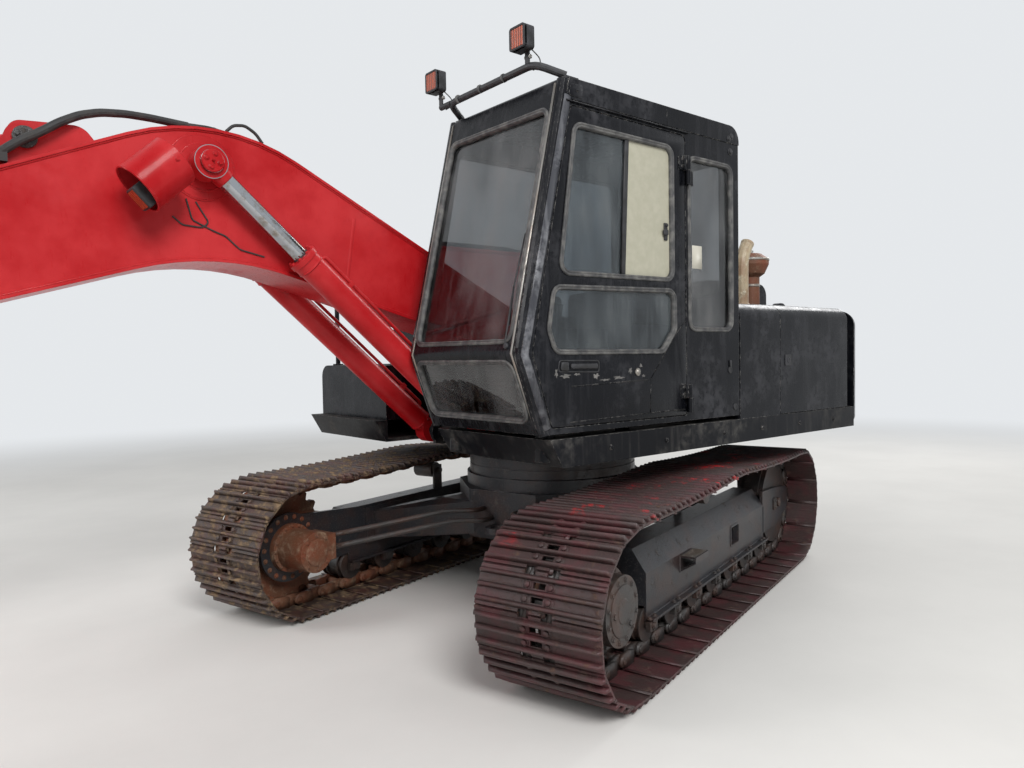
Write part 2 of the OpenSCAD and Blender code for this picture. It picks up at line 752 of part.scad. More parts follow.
// Door of the cab
module cab_door() {
  color([0.11, 0.11, 0.12]) {
    difference() {
      slab(wall_t, upper_half - wall_t / 2) polygon(filleted(door_outline(-door_gap), [20, 20, 60, 35, 35]));
      slab(4 * wall_t, upper_half) window(door_window);
      slab(4 * wall_t, upper_half) window(door_light);
    }
    // hinge leaves and knuckles
    for (z = hinge_z) difference() {
      union() {
        block([door_x + 8, upper_half - 4, z], [door_x + 60, upper_half + 8, z + hinge_h]);
        translate([door_x, upper_half + hinge_out, z]) cylinder(r = knuckle_r, h = hinge_h);
        block([door_x, upper_half + 2, z], [door_x + 30, upper_half + hinge_out, z + hinge_h]);
      }
      translate([door_x, upper_half + hinge_out, z - 1]) cylinder(r = hinge_pin_r + pin_gap, h = hinge_h + 2);
    }
  }
}
module door_glass() {
  color([0.55, 0.65, 0.70, 0.4]) {
    slab(glass_t, upper_half - 20) pane(door_window);
    slab(glass_t, upper_half - 20) pane(door_light);
  }
}

// Seat and controls
floor_z = cab_floor + 30;
seat_x = 180;
seat_h = 240;       // height of the suspension under the cushion
seat_w = 500;
back_w = 480;
back_top = 900;
head_w = 300;
head_top = 1090;
module cab_seat() {
  low = seat_h + seat_gap;
  rear = -190;
  color([0.13, 0.13, 0.14]) translate([seat_x, cab_mid, floor_z]) {
    block([-320, -200, 0], [200, 200, seat_h]);
    slab(seat_w) polygon(filleted([[rear, low], [260, low], [280, 390], [rear, 365]], [10, 30, 55, 20]));
    slab(back_w) polygon(filleted([
      [-330, low], [rear - seat_gap, low], [rear - seat_gap, 390], [-310, back_top], [-430, back_top]
    ], [40, 10, 60, 50, 50]));
    slab(head_w) polygon(filleted([
      [-425, back_top + seat_gap], [-325, back_top + seat_gap], [-355, head_top], [-435, head_top]
    ], [20, 20, 35, 35]));
  }
}
module cab_controls() {
  color([0.10, 0.10, 0.10]) translate([seat_x, cab_mid, floor_z]) {
    for (s = [-1, 1]) {
      block([-150, s * 310 - 55, 0], [330, s * 310 + 55, 520]);
      translate([260, s * 310, 520]) cylinder(r = 14, h = 170);
      translate([260, s * 310, 690]) sphere(r = 34);
      // travel levers with their pedals
      block([640, s * 90 - 50, 0], [820, s * 90 + 50, 60]);
      bar([700, s * 90, 40], [600, s * 90, 640], 14);
    }
  }
}

// Lamp bar over the windscreen
lamp_bar_z = roof_z + 75;
lamp_bar_x = roof_front + 75;
lamp_bar_r = 19;
lamp_z = lamp_bar_z + 136;
lamp_half = 58;
lamp_y = [cab_y + 15, upper_half - 190];
module lamp_bar() {
  color([0.16, 0.15, 0.15]) {
    ends = [cab_y + 45, upper_half - 45];
    tube([
      [roof_front - 60, ends[0], roof_z + 26], [lamp_bar_x - 10, ends[0] + 60, lamp_bar_z],
      [lamp_bar_x, ends[1] - 80, lamp_bar_z], [roof_front - 60, ends[1], roof_z + 26]
    ], lamp_bar_r, 55);
    for (y = ends)
      block([roof_front - 120, y - 28, roof_z + seat_gap], [roof_front - 35, y + 28, roof_z + 16]);
    bar([lamp_bar_x - 10, lamp_y[0], lamp_bar_z], [lamp_bar_x - 10, ends[0] + 70, lamp_bar_z], 16);
    for (y = lamp_y) {
      block([lamp_bar_x - 16, y - 14, lamp_bar_z], [lamp_bar_x - 6, y + 14, lamp_z]);
      along_x(lamp_bar_x - 8, lamp_bar_x + 52)
        translate([y, lamp_z]) square_plate(2 * lamp_half, 16);
    }
  }
}
module square_plate(w, r) {
  polygon(filleted([[-w / 2, -w / 2], [w / 2, -w / 2], [w / 2, w / 2], [-w / 2, w / 2]], r));
}

// Housings behind and beside the cab
corner_r = 90;
top_edge_y = upper_half - corner_r - 40;
module house_section(y0, y1, low) {
  // Outer wall with a rounded upper edge; Y and Z outline
  difference() {
    union() {
      translate([y0, low]) square([y1 - y0, house_top - low - corner_r]);
      translate([y0, low]) square([y1 - y0 - corner_r, house_top - low]);
      intersection() {
        translate([y1 - corner_r, house_top - corner_r]) circle(r = corner_r);
        translate([y1 - corner_r, low]) square([corner_r, house_top - low]);
      }
    }
    translate([y0 - 1, low - 1])
      square([y1 - y0 - panel_t + 1, house_top - low - panel_t + 1]);
  }
}
module along_x(x0, x1) {
  translate([x0, 0, 0]) rotate([90, 0, 90]) linear_extrude(x1 - x0) children();
}
module panel_left() {
  color([0.12, 0.12, 0.13]) {
    along_x(panel_x, cab_rear - 12) house_section(house_in, upper_half, skirt_top);
    block([cab_rear - 40, house_in, skirt_top], [cab_rear - 12, upper_half - panel_t, house_top - panel_t]);
    block([house_rear, house_in, house_top - panel_t], [panel_x, top_edge_y, house_top]);
    block([house_rear, house_in, skirt_top], [panel_x, house_in + 20, house_top - panel_t]);
    hood_pin();
  }
}
module service_door_left() {
  color([0.13, 0.13, 0.14]) difference() {
    along_x(house_rear, panel_x - move_gap)
      house_section(top_edge_y + move_gap, upper_half, skirt_top + move_gap);
    translate([door_rod_x, door_rod_y, skirt_top]) cylinder(r = door_rod_r + pin_gap, h = door_rod_h);
  }
}
module service_door_right() {
  mirror([0, 1, 0]) service_door_left();
}
tank_front = 500;
box_front = 1130;
box_top = 1560;
module house_solid(y0, y1, top) {
  polygon(filleted([[y0, skirt_top], [y1, skirt_top], [y1, top], [y0, top]], [0, 0, corner_r, 0]));
}
module tank_right() {
  color([0.12, 0.12, 0.13]) mirror([0, 1, 0]) {
    // fuel tank and, ahead of it, the tool box that serves as a step
    along_x(panel_x + 200, tank_front) house_solid(cab_y + 25, upper_half, house_top);
    along_x(tank_front, box_front) house_solid(cab_y + 25, upper_half, box_top);
    along_x(panel_x, panel_x + 200) house_solid(house_in, upper_half, house_top);
    block([house_rear, house_in, house_top - panel_t], [panel_x, top_edge_y, house_top]);
    block([house_rear, house_in, skirt_top], [panel_x, house_in + 20, house_top - panel_t]);
    hood_pin();
  }
}
engine_len = 600;
engine_half = 465;
engine_h = 555;
engine_low = deck_top + web_h;
module engine_block() {
  color([0.35, 0.33, 0.30])
    block([-1560, -engine_half, engine_low + seat_gap], [-1560 + engine_len, engine_half, engine_low + engine_h]);
}
hood_rear = -1660;
hood_h = 215;
hood_pin_x = hood_rear + 30;
hood_pin_z = house_top + 12;
hood_pin_r = 10;
hood_t = 30;
module engine_hood() {
  half = house_in - move_gap;
  low = house_top - 60;
  outline = [[hood_rear, low], [panel_x - 40, low], [panel_x - 40, house_top + hood_h], [hood_rear, house_top + hood_h]];
  color([0.12, 0.12, 0.13]) difference() {
    slab(2 * half) polygon(filleted(outline, [0, 0, 70, 90]));
    slab(2 * (half - hood_t)) polygon(filleted(
      [for (p = inset_by(outline, hood_t)) [p.x, p.y < house_top ? low - 1 : p.y]], [0, 0, 45, 60]));
    at([hood_pin_x, hood_pin_z]) bar_y(hood_pin_r + pin_gap, 2 * half + 2);
  }
}
// Pin of the hood on the housing's inner wall, on the left side
module hood_pin() {
  at([hood_pin_x, hood_pin_z]) bar_y(hood_pin_r, 40, house_in - 10);
  block([hood_pin_x - 20, house_in, house_top - 1], [hood_pin_x + 20, house_in + 10, hood_pin_z + 15]);
}
exhaust_at = [-940, 960];
exhaust_top = 2370;
exhaust_r = 45;
module exhaust() {
  color([0.55, 0.48, 0.38]) tube([
    [exhaust_at.x, exhaust_at.y, house_top + seat_gap], [exhaust_at.x, exhaust_at.y, exhaust_top - 110],
    [exhaust_at.x - 70, exhaust_at.y, exhaust_top]
  ], exhaust_r, 60);
}
bowl_at = [-1205, 860];
bowl_low = 2150;
module air_cleaner() {
  color([0.42, 0.30, 0.22]) translate([bowl_at.x, bowl_at.y, 0]) rotate_extrude() polygon(filleted([
    [0, house_top + seat_gap], [60, house_top + seat_gap], [60, bowl_low], [95, bowl_low + 25],
    [125, bowl_low + 90], [125, bowl_low + 130], [70, bowl_low + 170], [0, bowl_low + 175]
  ], [0, 0, 0, 15, 20, 20, 30, 0]));
}
tail_low = deck_z + 17;
tail_r = norm([upper_half, tail_side]);
tail_round = 110;
lift_x = -2250;
lift_y = 450;
lift_r = 30;
lift_t = 50;
lift_h = 90;
lift_half = 75;
module counterweight() {
  color([0.12, 0.12, 0.13]) {
    intersection() {
      translate([tail_x, 0, 0]) rotate_extrude($fn = 96) polygon(filleted(
        [[0, tail_low], [tail_r, tail_low], [tail_r, tail_top], [0, tail_top]], [0, 50, tail_round, 0]));
      block([-3000, -upper_half, 0], [house_rear - 100, upper_half, 3000]);
    }
    // lifting eyes
    slab_pair(lift_t, lift_y) translate([lift_x, tail_top + seat_gap]) difference() {
      polygon(filleted([[-lift_half, 0], [lift_half, 0], [lift_half, lift_h + lift_r], [-lift_half, lift_h + lift_r]],
        [0, 0, 60, 60]));
      translate([0, lift_h - lift_r]) circle(r = lift_r);
    }
  }
}
module swing_motor() {
  color([0.25, 0.24, 0.23]) translate([-420, 0, deck_top]) {
    cylinder(r = 160, h = 260);
    translate([0, 0, 260]) cylinder(r = 110, h = 260);
  }
}
rail_r = 17;
rail_y = -upper_half + corner_r + 20;
rail_front = 1050;
rail_rear = 455;
rail_top = 2300;
foot_r = 38;
foot_h = 10;
module handrails() {
  color([0.14, 0.14, 0.14]) {
    tube([
      [rail_front, rail_y, box_top + foot_h - 1], [rail_front, rail_y, rail_top],
      [rail_rear, rail_y, rail_top], [rail_rear, rail_y, house_top + foot_h - 1]
    ], rail_r, 90);
    translate([rail_front, rail_y, box_top + seat_gap]) cylinder(r = foot_r, h = foot_h);
    translate([rail_rear, rail_y, house_top + seat_gap]) cylinder(r = foot_r, h = foot_h);
  }
}

// Boom
boom_tip = [boom_tip_x, boom_tip_z];
boom_foot = [boom_foot_x, boom_foot_z];
rod_pin = [rod_pin_x, rod_pin_z];
arm_base_pin = [3190, 2600];
tip_pin_r = 42;
fork_r = 450;
fork_half = arm_half + move_gap + 1;
boom_corners = [
  [120, 1495], [2407, 2155], [boom_tip.x - 60, boom_tip.y - 108], [boom_tip.x + 30, boom_tip.y + 115],
  [2382, 2855], [110, 1710]
];
boom_bend_low = 1300;
boom_bend_high = 960;
flange_in = 14;     // thickness of the top and bottom plates
web_set = 12;       // how far the side plates stand in from the edges
boss_r = 110;
bracket_y = 86;
bracket_t = 28;
module boom() {
  color([0.62, 0.06, 0.05]) {
    difference() {
      union() {
        slab(2 * (boom_half - web_set))
          polygon(filleted(boom_corners, [0, boom_bend_low, 0, 0, boom_bend_high, 0]));
        slab(2 * boom_half) difference() {
          polygon(filleted(boom_corners, [0, boom_bend_low, 0, 0, boom_bend_high, 0]));
          polygon(filleted(inset_by(boom_corners, flange_in),
            [0, boom_bend_low + flange_in, 0, 0, boom_bend_high - flange_in, 0]));
        }
        at(boom_foot) bar_y(112, 2 * (web_y - web_t / 2 - 1));
        at(boom_tip) bar_y(118, 2 * boom_half);
        at(rod_pin) bar_y(boss_r, 2 * (boom_half + 7));
        at(rod_pin) bar_y(boss_r + 45, 2 * (boom_half - web_set + 8));
        // bracket of the arm cylinder
        slab_pair(bracket_t, bracket_y) {
          polygon(filleted([
            arm_base_pin - [330, 40], arm_base_pin + [370, -370], arm_base_pin + [95, -30],
            arm_base_pin + [45, 72], arm_base_pin + [-60, 80], arm_base_pin + [-230, 90]
          ], [0, 0, 60, 60, 60, 80]));
        }
      }
      at(boom_foot) bar_y(foot_pin_r + pin_gap, 4 * web_y);
      at(boom_tip) bar_y(fork_r, 2 * fork_half);
      at(boom_tip) bar_y(tip_pin_r - 5, 4 * boom_half);
    }
    at(boom_tip) bar_y(tip_pin_r, 2 * boom_half + 30);
    at(arm_base_pin) {
      bar_y(35, 2 * bracket_y + bracket_t + 4);
      for (y = [-1, 1]) bar_y(50, 12, y * (bracket_y + bracket_t / 2 + 5));
    }
  }
}

// Boom cylinders
barrel_r = 72.5;
rod_r = 42.5;
eye_w = 100;
cyl_foot = [cyl_foot_x, cyl_foot_z];
boom_cyl_len = norm(rod_pin - cyl_foot);
boom_cyl_angle = atan2(rod_pin.y - cyl_foot.y, rod_pin.x - cyl_foot.x);
boom_cyl_out = 493;      // how far the rods are out at rest
boom_cyl_shut = boom_cyl_len - boom_cyl_out;

module along(p, a) {
  at(p) rotate([0, -a, 0]) children();
}
module bar_x(r, x0, x1) {
  translate([x0, 0, 0]) rotate([0, 90, 0]) cylinder(r = r, h = x1 - x0);
}
// Barrel from its foot pin along X; shut is the closed length from pin to pin
module barrel(r, rod, shut, w, eye_r, pin) {
  difference() {
    union() {
      bar_y(eye_r, w);
      bar_x(r * 0.7, 0, 120);
      bar_x(r, 95, shut - 120);
      bar_x(r + 3.5, shut - 190, shut - 120);
    }
    bar_y(pin + pin_gap, w + 2);
    bar_x(r - 12.5, 120, shut - 200);
    bar_x(rod + pin_gap, shut - 201, shut);
  }
}
// Pressure pipe along a barrel, with its clamps
barrel_pipe_r = 10;
barrel_pipe_bend = 20;
module barrel_pipe(r, shut) {
  h = r + 22;
  tube([[170, 0, r - 6], [170, 0, h], [shut - 215, 0, h], [shut - 215, 0, r - 2]], barrel_pipe_r, barrel_pipe_bend);
  for (x = [350, shut - 420]) block([x - 14, -16, r - 6], [x + 14, 16, h + barrel_pipe_r + 4]);
}
// Rod with its piston; len is the length from pin to pin at rest
module rod(r, bore, shut, len, w, eye_r) {
  bar_x(r, len - shut + 125, len - 20);
  bar_x(bore - 0.1, len - shut + 125, len - shut + 180);
  translate([len, 0, 0]) bar_y(eye_r, w);
}
module boom_cylinder_barrels() {
  color([0.55, 0.06, 0.05]) for (s = [-1, 1]) translate([0, s * cyl_y, 0])
    along(cyl_foot, boom_cyl_angle) {
      barrel(barrel_r, rod_r, boom_cyl_shut, eye_w, 80, cyl_pin_r);
      barrel_pipe(barrel_r, boom_cyl_shut);
    }
}
module boom_cylinder_rods() {
  color([0.75, 0.76, 0.78]) for (s = [-1, 1]) translate([0, s * cyl_y, 0]) {
    along(cyl_foot, boom_cyl_angle)
      rod(rod_r, barrel_r - 12.5, boom_cyl_shut, boom_cyl_len, eye_w, 80);
    at(rod_pin) bar_y(45, cyl_y - boom_half - 12, -s * (cyl_y - boom_half - 12) / 2);
    at(rod_pin) bar_y(55, 17, s * 57.5);
  }
}

// Arm
arm_angle = -arm_drop;
arm_lug = boom_tip + polar(arm_lug_r, arm_angle + arm_lug_angle);
bucket_pin = boom_tip + polar(arm_len, arm_angle);
bucket_base_pin = [60, 420];
rocker_pin = [arm_len - 400, 30];
rocker_len = 560;
link_len = 530;
lug_r = 380;
lug_angle = 100;
link_pin = turned([lug_r, 0], lug_angle - bucket_drop - arm_angle) + [arm_len, 0];
rocker_reach = link_pin - rocker_pin;
rocker_angle = atan2(rocker_reach.y, rocker_reach.x)
  + acos((rocker_reach * rocker_reach + rocker_len ^ 2 - link_len ^ 2) / (2 * norm(rocker_reach) * rocker_len));
rocker_end = rocker_pin + polar(rocker_len, rocker_angle);
arm_slot_r = 240;
bucket_pin_r = 40;
link_pin_r = 35;
module in_arm() {
  along(boom_tip, arm_angle) children();
}
arm_corners = [
  [-120, -120], [600, -190], [arm_len - 420, -115], [arm_len + 20, -75], [arm_len + 50, 75],
  [arm_len - 420, 130], [700, 270], [150, 340], [-90, 330]
];
arm_radii = [0, 1500, 0, 0, 0, 0, 1500, 1500, 90];
module arm() {
  lug = polar(arm_lug_r, arm_lug_angle);
  color([0.62, 0.06, 0.05]) in_arm() {
    difference() {
      union() {
        slab(2 * (arm_half - web_set)) polygon(filleted(arm_corners, arm_radii));
        slab(2 * arm_half) difference() {
          polygon(filleted(arm_corners, arm_radii));
          polygon(filleted(inset_by(arm_corners, flange_in), [for (r = arm_radii) max(0, r - flange_in)]));
        }
        bar_y(130, 2 * arm_half);
        slab(2 * arm_half) {
          polygon([[0, -80], polar(90, arm_lug_angle + 90) + lug, polar(90, arm_lug_angle - 90) + lug, [150, 300]]);
          translate(lug) circle(r = 95);
        }
        slab_pair(28, 78) {
          polygon([[-60, 300], [300, 300], [110, 470], [10, 470]]);
          translate(bucket_base_pin) circle(r = 75);
        }
        at([arm_len, 0]) bar_y(80, 2 * arm_half + 5);
      }
      bar_y(tip_pin_r + pin_gap, 4 * arm_half);
      // slot for the rod's eye between the lug plates
      slab(2 * 52) difference() {
        polygon([
          [0, 0] + polar(200, arm_lug_angle + 100), lug + polar(200, arm_lug_angle + 60),
          lug + polar(200, arm_lug_angle - 60), polar(600, arm_lug_angle - 45), [0, 0]
        ]);
        circle(r = arm_slot_r);
      }
      at([arm_len, 0]) bar_y(bucket_pin_r + pin_gap, 4 * arm_half);
      at(rocker_pin) bar_y(link_pin_r - 5, 4 * arm_half);
      at([arm_len, 0]) slab_pair(60, arm_half + 30 - 25) translate([-600, -200]) square([500, 500]);
    }
    at(bucket_base_pin) bar_y(30, 200);
    at(rocker_pin) bar_y(link_pin_r, 2 * arm_half + 20);
    at(lug) for (y = [-1, 1]) bar_y(40, 14, y * (arm_half + 5));
  }
}

// Arm cylinder
arm_cyl_len = norm(arm_lug - arm_base_pin);
arm_cyl_angle = atan2(arm_lug.y - arm_base_pin.y, arm_lug.x - arm_base_pin.x);
arm_cyl_out = 44;
arm_cyl_shut = arm_cyl_len - arm_cyl_out;
module arm_cylinder_barrel() {
  color([0.55, 0.06, 0.05]) along(arm_base_pin, arm_cyl_angle) {
    barrel(68, 40, arm_cyl_shut, 130, 75, 35);
    barrel_pipe(68, arm_cyl_shut);
  }
}
module arm_cylinder_rod() {
  color([0.75, 0.76, 0.78]) along(arm_base_pin, arm_cyl_angle) rod(40, 68 - 12.5, arm_cyl_shut, arm_cyl_len, 90, 75);
}

// Bucket linkage
bucket_cyl_len = norm(rocker_end - bucket_base_pin);
bucket_cyl_angle = atan2(rocker_end.y - bucket_base_pin.y, rocker_end.x - bucket_base_pin.x);
bucket_cyl_out = 205;
bucket_cyl_shut = bucket_cyl_len - bucket_cyl_out;
module bucket_cylinder_barrel() {
  color([0.55, 0.06, 0.05]) in_arm() along(bucket_base_pin, bucket_cyl_angle)
    barrel(58, 35, bucket_cyl_shut, 120, 65, 30);
}
module bucket_cylinder_rod() {
  color([0.75, 0.76, 0.78]) in_arm() along(bucket_base_pin, bucket_cyl_angle)
    rod(35, 58 - 12.5, bucket_cyl_shut, bucket_cyl_len, 80, 65);
}
rocker_t = 25;
rocker_mid = arm_half - 2;
module rocker_links() {
  color([0.17, 0.14, 0.13]) in_arm() for (s = [-1, 1]) difference() {
    union() {
      along(rocker_pin, rocker_angle) {
        bar_y(75, rocker_t, s * rocker_mid);
        slab(rocker_t, s * rocker_mid) translate([0, -50]) square([rocker_len, 100]);
        translate([rocker_len, 0, 0]) bar_y(65, rocker_t, s * rocker_mid);
        translate([rocker_len, 0, 0]) bar_y(link_pin_r, 80, s * (rocker_mid - 40));
      }
    }
    at(rocker_pin) bar_y(link_pin_r + pin_gap, 4 * arm_half);
  }
}
link_angle = atan2(link_pin.y - rocker_end.y, link_pin.x - rocker_end.x);
module bucket_link() {
  color([0.17, 0.14, 0.13]) in_arm() along(rocker_end, link_angle) {
    for (s = [-1, 1]) difference() {
      union() {
        bar_y(65, 50, s * 90);
        slab(50, s * 90) translate([0, -45]) square([link_len, 90]);
      }
      bar_y(link_pin_r + pin_gap, 400);
    }
    block([link_len - 150, -100, -45], [link_len - 60, 100, 45]);
    translate([link_len, 0, 0]) bar_y(65, 230);
  }
}

// Bucket, in its own frame: X from the pin to the teeth's tips, the belly on the positive side
ear_y = arm_half + 25;
ear_t = 28;
lip = [130, 20];
tooth_len = 190;
tooth_dir = unit([0.45, -0.9]);
tooth_in = [tooth_dir.y, -tooth_dir.x];
edge = [bucket_r, 0] - tooth_dir * tooth_len;
// cutting edge, floor, back and upper lip
belly_corners = [edge, edge - tooth_dir * 820, [90, 800], lip];
belly_radii = [0, 420, 380, 0];
belly = filleted(belly_corners, belly_radii);
module in_bucket(t) {
  // inner space, open at the mouth
  p = inset_by(belly_corners, t);
  polygon(concat(filleted(p, [0, belly_radii[1] - t, belly_radii[2] - t, 0]), [[p[3].x, -200], [p[0].x, -200]]));
}
function on_tooth(p) = edge + tooth_dir * p.x + tooth_in * p.y;
tooth_w = 75;
cutter_t = 36;
module bucket() {
  color([0.20, 0.16, 0.14]) along(bucket_pin, -bucket_drop) {
    // wrapped plate
    slab(bucket_w) difference() {
      polygon(belly);
      in_bucket(bucket_t);
    }
    // side plates with their thicker front strips
    slab_pair(bucket_t, (bucket_w - bucket_t) / 2) polygon(belly);
    slab_pair(cutter_t, (bucket_w - cutter_t) / 2 + 6)
      polygon([edge, edge - tooth_dir * 160, mix(lip, edge, 0.35) + [0, 45], mix(lip, edge, 0.3)]);
    // cutting edge and teeth
    slab(bucket_w) polygon([on_tooth([-130, 0]), on_tooth([-130, 34]), on_tooth([12, 30]), on_tooth([12, 2])]);
    for (i = [0 : tooth_count - 1])
      translate([0, mix(-bucket_w / 2 + 50, bucket_w / 2 - 50, i / (tooth_count - 1)), 0]) slab(tooth_w)
        polygon([for (p = [[-120, -2], [-80, -26], [30, -28], [tooth_len, -5], [tooth_len, 5], [50, 56], [-30, 62], [-110, 32]])
          on_tooth(p)]);
    // ears
    difference() {
      slab_pair(ear_t, ear_y) {
        polygon([[0, -85], [150, -40], [200, 400], [190, 470], polar(lug_r, lug_angle) + [-20, 75], [-80, 20]]);
        circle(r = 90);
        translate(polar(lug_r, lug_angle)) circle(r = 75);
      }
      slab(bucket_w - 3) in_bucket(8);
    }
    bar_y(bucket_pin_r, 2 * ear_y + ear_t + 30);
    at(polar(lug_r, lug_angle)) for (y = [-1, 1]) bar_y(45, 14, y * (ear_y + ear_t / 2 + 6));
  }
}

lamp_at = [2720, boom_half + 155, 2455];
lamp_drop = 43;
lamp_guard_r = 118;
lamp_guard_len = 220;
lamp_guard_t = 6;
module boom_lamp() {
  color([0.60, 0.05, 0.05]) {
    translate(lamp_at) rotate([0, lamp_drop, 0]) difference() {
      bar_x(lamp_guard_r, -lamp_guard_len / 2, lamp_guard_len / 2);
      bar_x(lamp_guard_r - lamp_guard_t, -lamp_guard_len / 2 + lamp_guard_t, lamp_guard_len / 2 + 1);
    }
    translate(lamp_at) rotate([0, lamp_drop, 0]) {
      bar_x(30, -lamp_guard_len / 2 + lamp_guard_t - 1, -60);
      bar_x(85, -61, -10);
    }
    block([lamp_at.x - 100, boom_half - web_set + seat_gap, lamp_at.z - 40],
      [lamp_at.x - 80, lamp_at.y - lamp_guard_r + 20, lamp_at.z + 60]);
  }
}
// Pipes along the boom's top plate on clamps, the hose to the arm cylinder and the lamp's cable
boom_pipe_r = 17;
boom_pipe_y = 45;
clamp_h = 20;
clamp_t = 60;
pipe_rise = clamp_h + boom_pipe_r;
pipe_corners = inset_by(boom_corners, -pipe_rise);
pipe_arc = corner_arc(pipe_corners[5], pipe_corners[4], pipe_corners[3], boom_bend_high + pipe_rise);
hose_r = 19;
hose_route = [
  [2661, 60, 2791], [2776, 80, 2784], [2887, 100, 2765], [2975, 125, 2731],
  [3059, 145, 2680], [3137, 150, 2621], [3213, 150, 2574], [3262, 140, 2535], [3287, 130, 2515]
];
port_at = [3287, bracket_y + bracket_t / 2 + seat_gap, 2505];
cable_r = 8;
cable_y = boom_half - 25;
cable_end = 6;     // its bent ends stand on their lower edges
crown = inset_by(boom_corners, boom_bend_high)[4];
function on_crown(x, h) = [x, crown.y + sqrt((boom_bend_high + h) ^ 2 - (x - crown.x) ^ 2)];
wire_r = 4;
wire_y = boom_half - web_set + wire_r + seat_gap;
wires = [
  [[2545, 2395], [2519, 2295], [2410, 2247], [2362, 2232], [2289, 2168], [2165, 2141]],
  [[2611, 2305], [2566, 2267], [2470, 2262], [2440, 2290], [2500, 2385]]
];
module clamp_at(p, a, b) {
  at(p) rotate([0, -atan2(b.y - a.y, b.x - a.x), 0])
    block([-clamp_t / 2, -boom_pipe_y - 30, seat_gap - pipe_rise], [clamp_t / 2, boom_pipe_y + 30, 6]);
}
module boom_pipes() {
  foot = mix(pipe_corners[5], pipe_corners[4], 0.42);
  color([0.25, 0.24, 0.23]) {
    for (s = [-1, 1]) tube([
      for (p = [foot, pipe_arc[0], pipe_arc[2], pipe_arc[4], pipe_arc[5]]) [p.x, s * boom_pipe_y, p.y]
    ], boom_pipe_r, 20);
    for (t = [0.1, 0.9]) clamp_at(mix(foot, pipe_arc[0], t), foot, pipe_arc[0]);
    clamp_at(pipe_arc[4], pipe_arc[3], pipe_arc[5]);
    tube(concat([[pipe_arc[5].x - 12, boom_pipe_y, pipe_arc[5].y + 2]], hose_route), hose_r, 30);
    block(port_at - [26, 0, 28], port_at + [26, 50, 28]);
    // loop of the lamp's cable over the top plate
    loop = [for (q = [[2335, cable_end], [2300, 45], [2240, 62], [2185, 42], [2150, cable_end]]) on_crown(q.x, q.y)];
    tube([for (p = loop) [p.x, cable_y, p.y]], cable_r, 20);
    for (w = wires) tube([for (p = w) [p.x, wire_y, p.y]], wire_r, 15);
  }
}

carbody();
slewing_ring();
track_frame(1);  // track_frame_left
track_frame(-1);  // track_frame_right
track(1);  // track_left
track(-1);  // track_right
sprocket(1);  // sprocket_left
sprocket(-1);  // sprocket_right
idler(1);  // idler_left
idler(-1);  // idler_right
track_rollers(1);  // track_rollers_left
track_rollers(-1);  // track_rollers_right
carrier_rollers();
travel_motors();
travel_pipes();
revolving_frame();
cab_shell();
cab_glass();
cab_seat();
cab_controls();
lamp_bar();
panel_left();
tank_right();
engine_block();
exhaust();
air_cleaner();
counterweight();
swing_motor();
handrails();
engine_hood();
service_door_left();
service_door_right();
cab_door();
door_glass();
boom();
boom_lamp();
boom_pipes();
boom_cylinder_barrels();
boom_cylinder_rods();
arm_cylinder_barrel();
arm_cylinder_rod();
arm();
bucket_cylinder_barrel();
bucket_cylinder_rod();
rocker_links();
bucket_link();
bucket();
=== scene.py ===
# Crawler excavator: paint, glass, seals, bolts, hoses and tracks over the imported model.
import math

import bmesh
import bpy
from bpy.props import FloatProperty, FloatVectorProperty, PointerProperty
from mathutils import Matrix, Vector
from mathutils.geometry import tessellate_polygon


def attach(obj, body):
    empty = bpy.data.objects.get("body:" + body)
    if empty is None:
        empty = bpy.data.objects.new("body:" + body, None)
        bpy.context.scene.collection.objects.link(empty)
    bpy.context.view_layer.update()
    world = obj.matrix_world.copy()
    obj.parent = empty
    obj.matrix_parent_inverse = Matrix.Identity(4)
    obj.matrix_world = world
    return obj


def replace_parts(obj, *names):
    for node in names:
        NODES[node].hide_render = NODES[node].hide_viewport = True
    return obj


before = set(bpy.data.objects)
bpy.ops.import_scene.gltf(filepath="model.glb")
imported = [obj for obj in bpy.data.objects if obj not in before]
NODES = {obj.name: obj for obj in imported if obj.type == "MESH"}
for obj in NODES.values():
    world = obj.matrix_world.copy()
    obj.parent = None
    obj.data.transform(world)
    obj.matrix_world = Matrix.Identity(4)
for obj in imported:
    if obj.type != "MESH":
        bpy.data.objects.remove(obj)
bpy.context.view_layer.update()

bl_info = {
    "name": "Crawler excavator dressing",
    "version": (1, 0, 0),
    "blender": (4, 5, 0),
    "location": "3D View > Sidebar > Excavator",
    "description": "Dresses the excavator's solid model with its finishes, trim and tracks",
    "category": "Object",
}

# Places that the solid model gives, in metres
TURN = math.radians(16)
GAUGE = 2.200
UPPER_HALF = 1.330
CAB_Y = 0.365
CAB_REAR = -0.349
CAB_FLOOR = 1.222
CAB_TOE = 1.277
KNEE = (1.422, 1.621)
ROOF = (1.106, 2.966)
DOOR_X = 0.165
HOUSE_TOP = 1.915
BOOM_HALF = 0.200
BOOM_TIP = (5.420, 1.370)
ROD_PIN = (2.465, 2.555)
CYL_FOOT = (0.860, 1.120)
CYL_Y = 0.285
ARM_BASE_PIN = (3.190, 2.600)
ARM_LEN = 2.420
ARM_HALF = 0.140
ARM_DROP = math.radians(23)
BUCKET_W = 1.050
BUCKET_R = 1.400
BUCKET_DROP = math.radians(17)
SPROCKET_X = 1.560
IDLER_X = SPROCKET_X - 2.940
TUMBLER_R = 0.397
TUMBLER_Z = 0.432
LINK_PITCH = 0.190

# The photograph's camera: place in metres, yaw, pitch and roll in degrees, focal length in frame widths
CAMERA_AT = (3.716, 4.055, 1.611)
CAMERA_TURNS = (230.406, -2.133, -0.962)
CAMERA_REACH = 764.14 / 1024


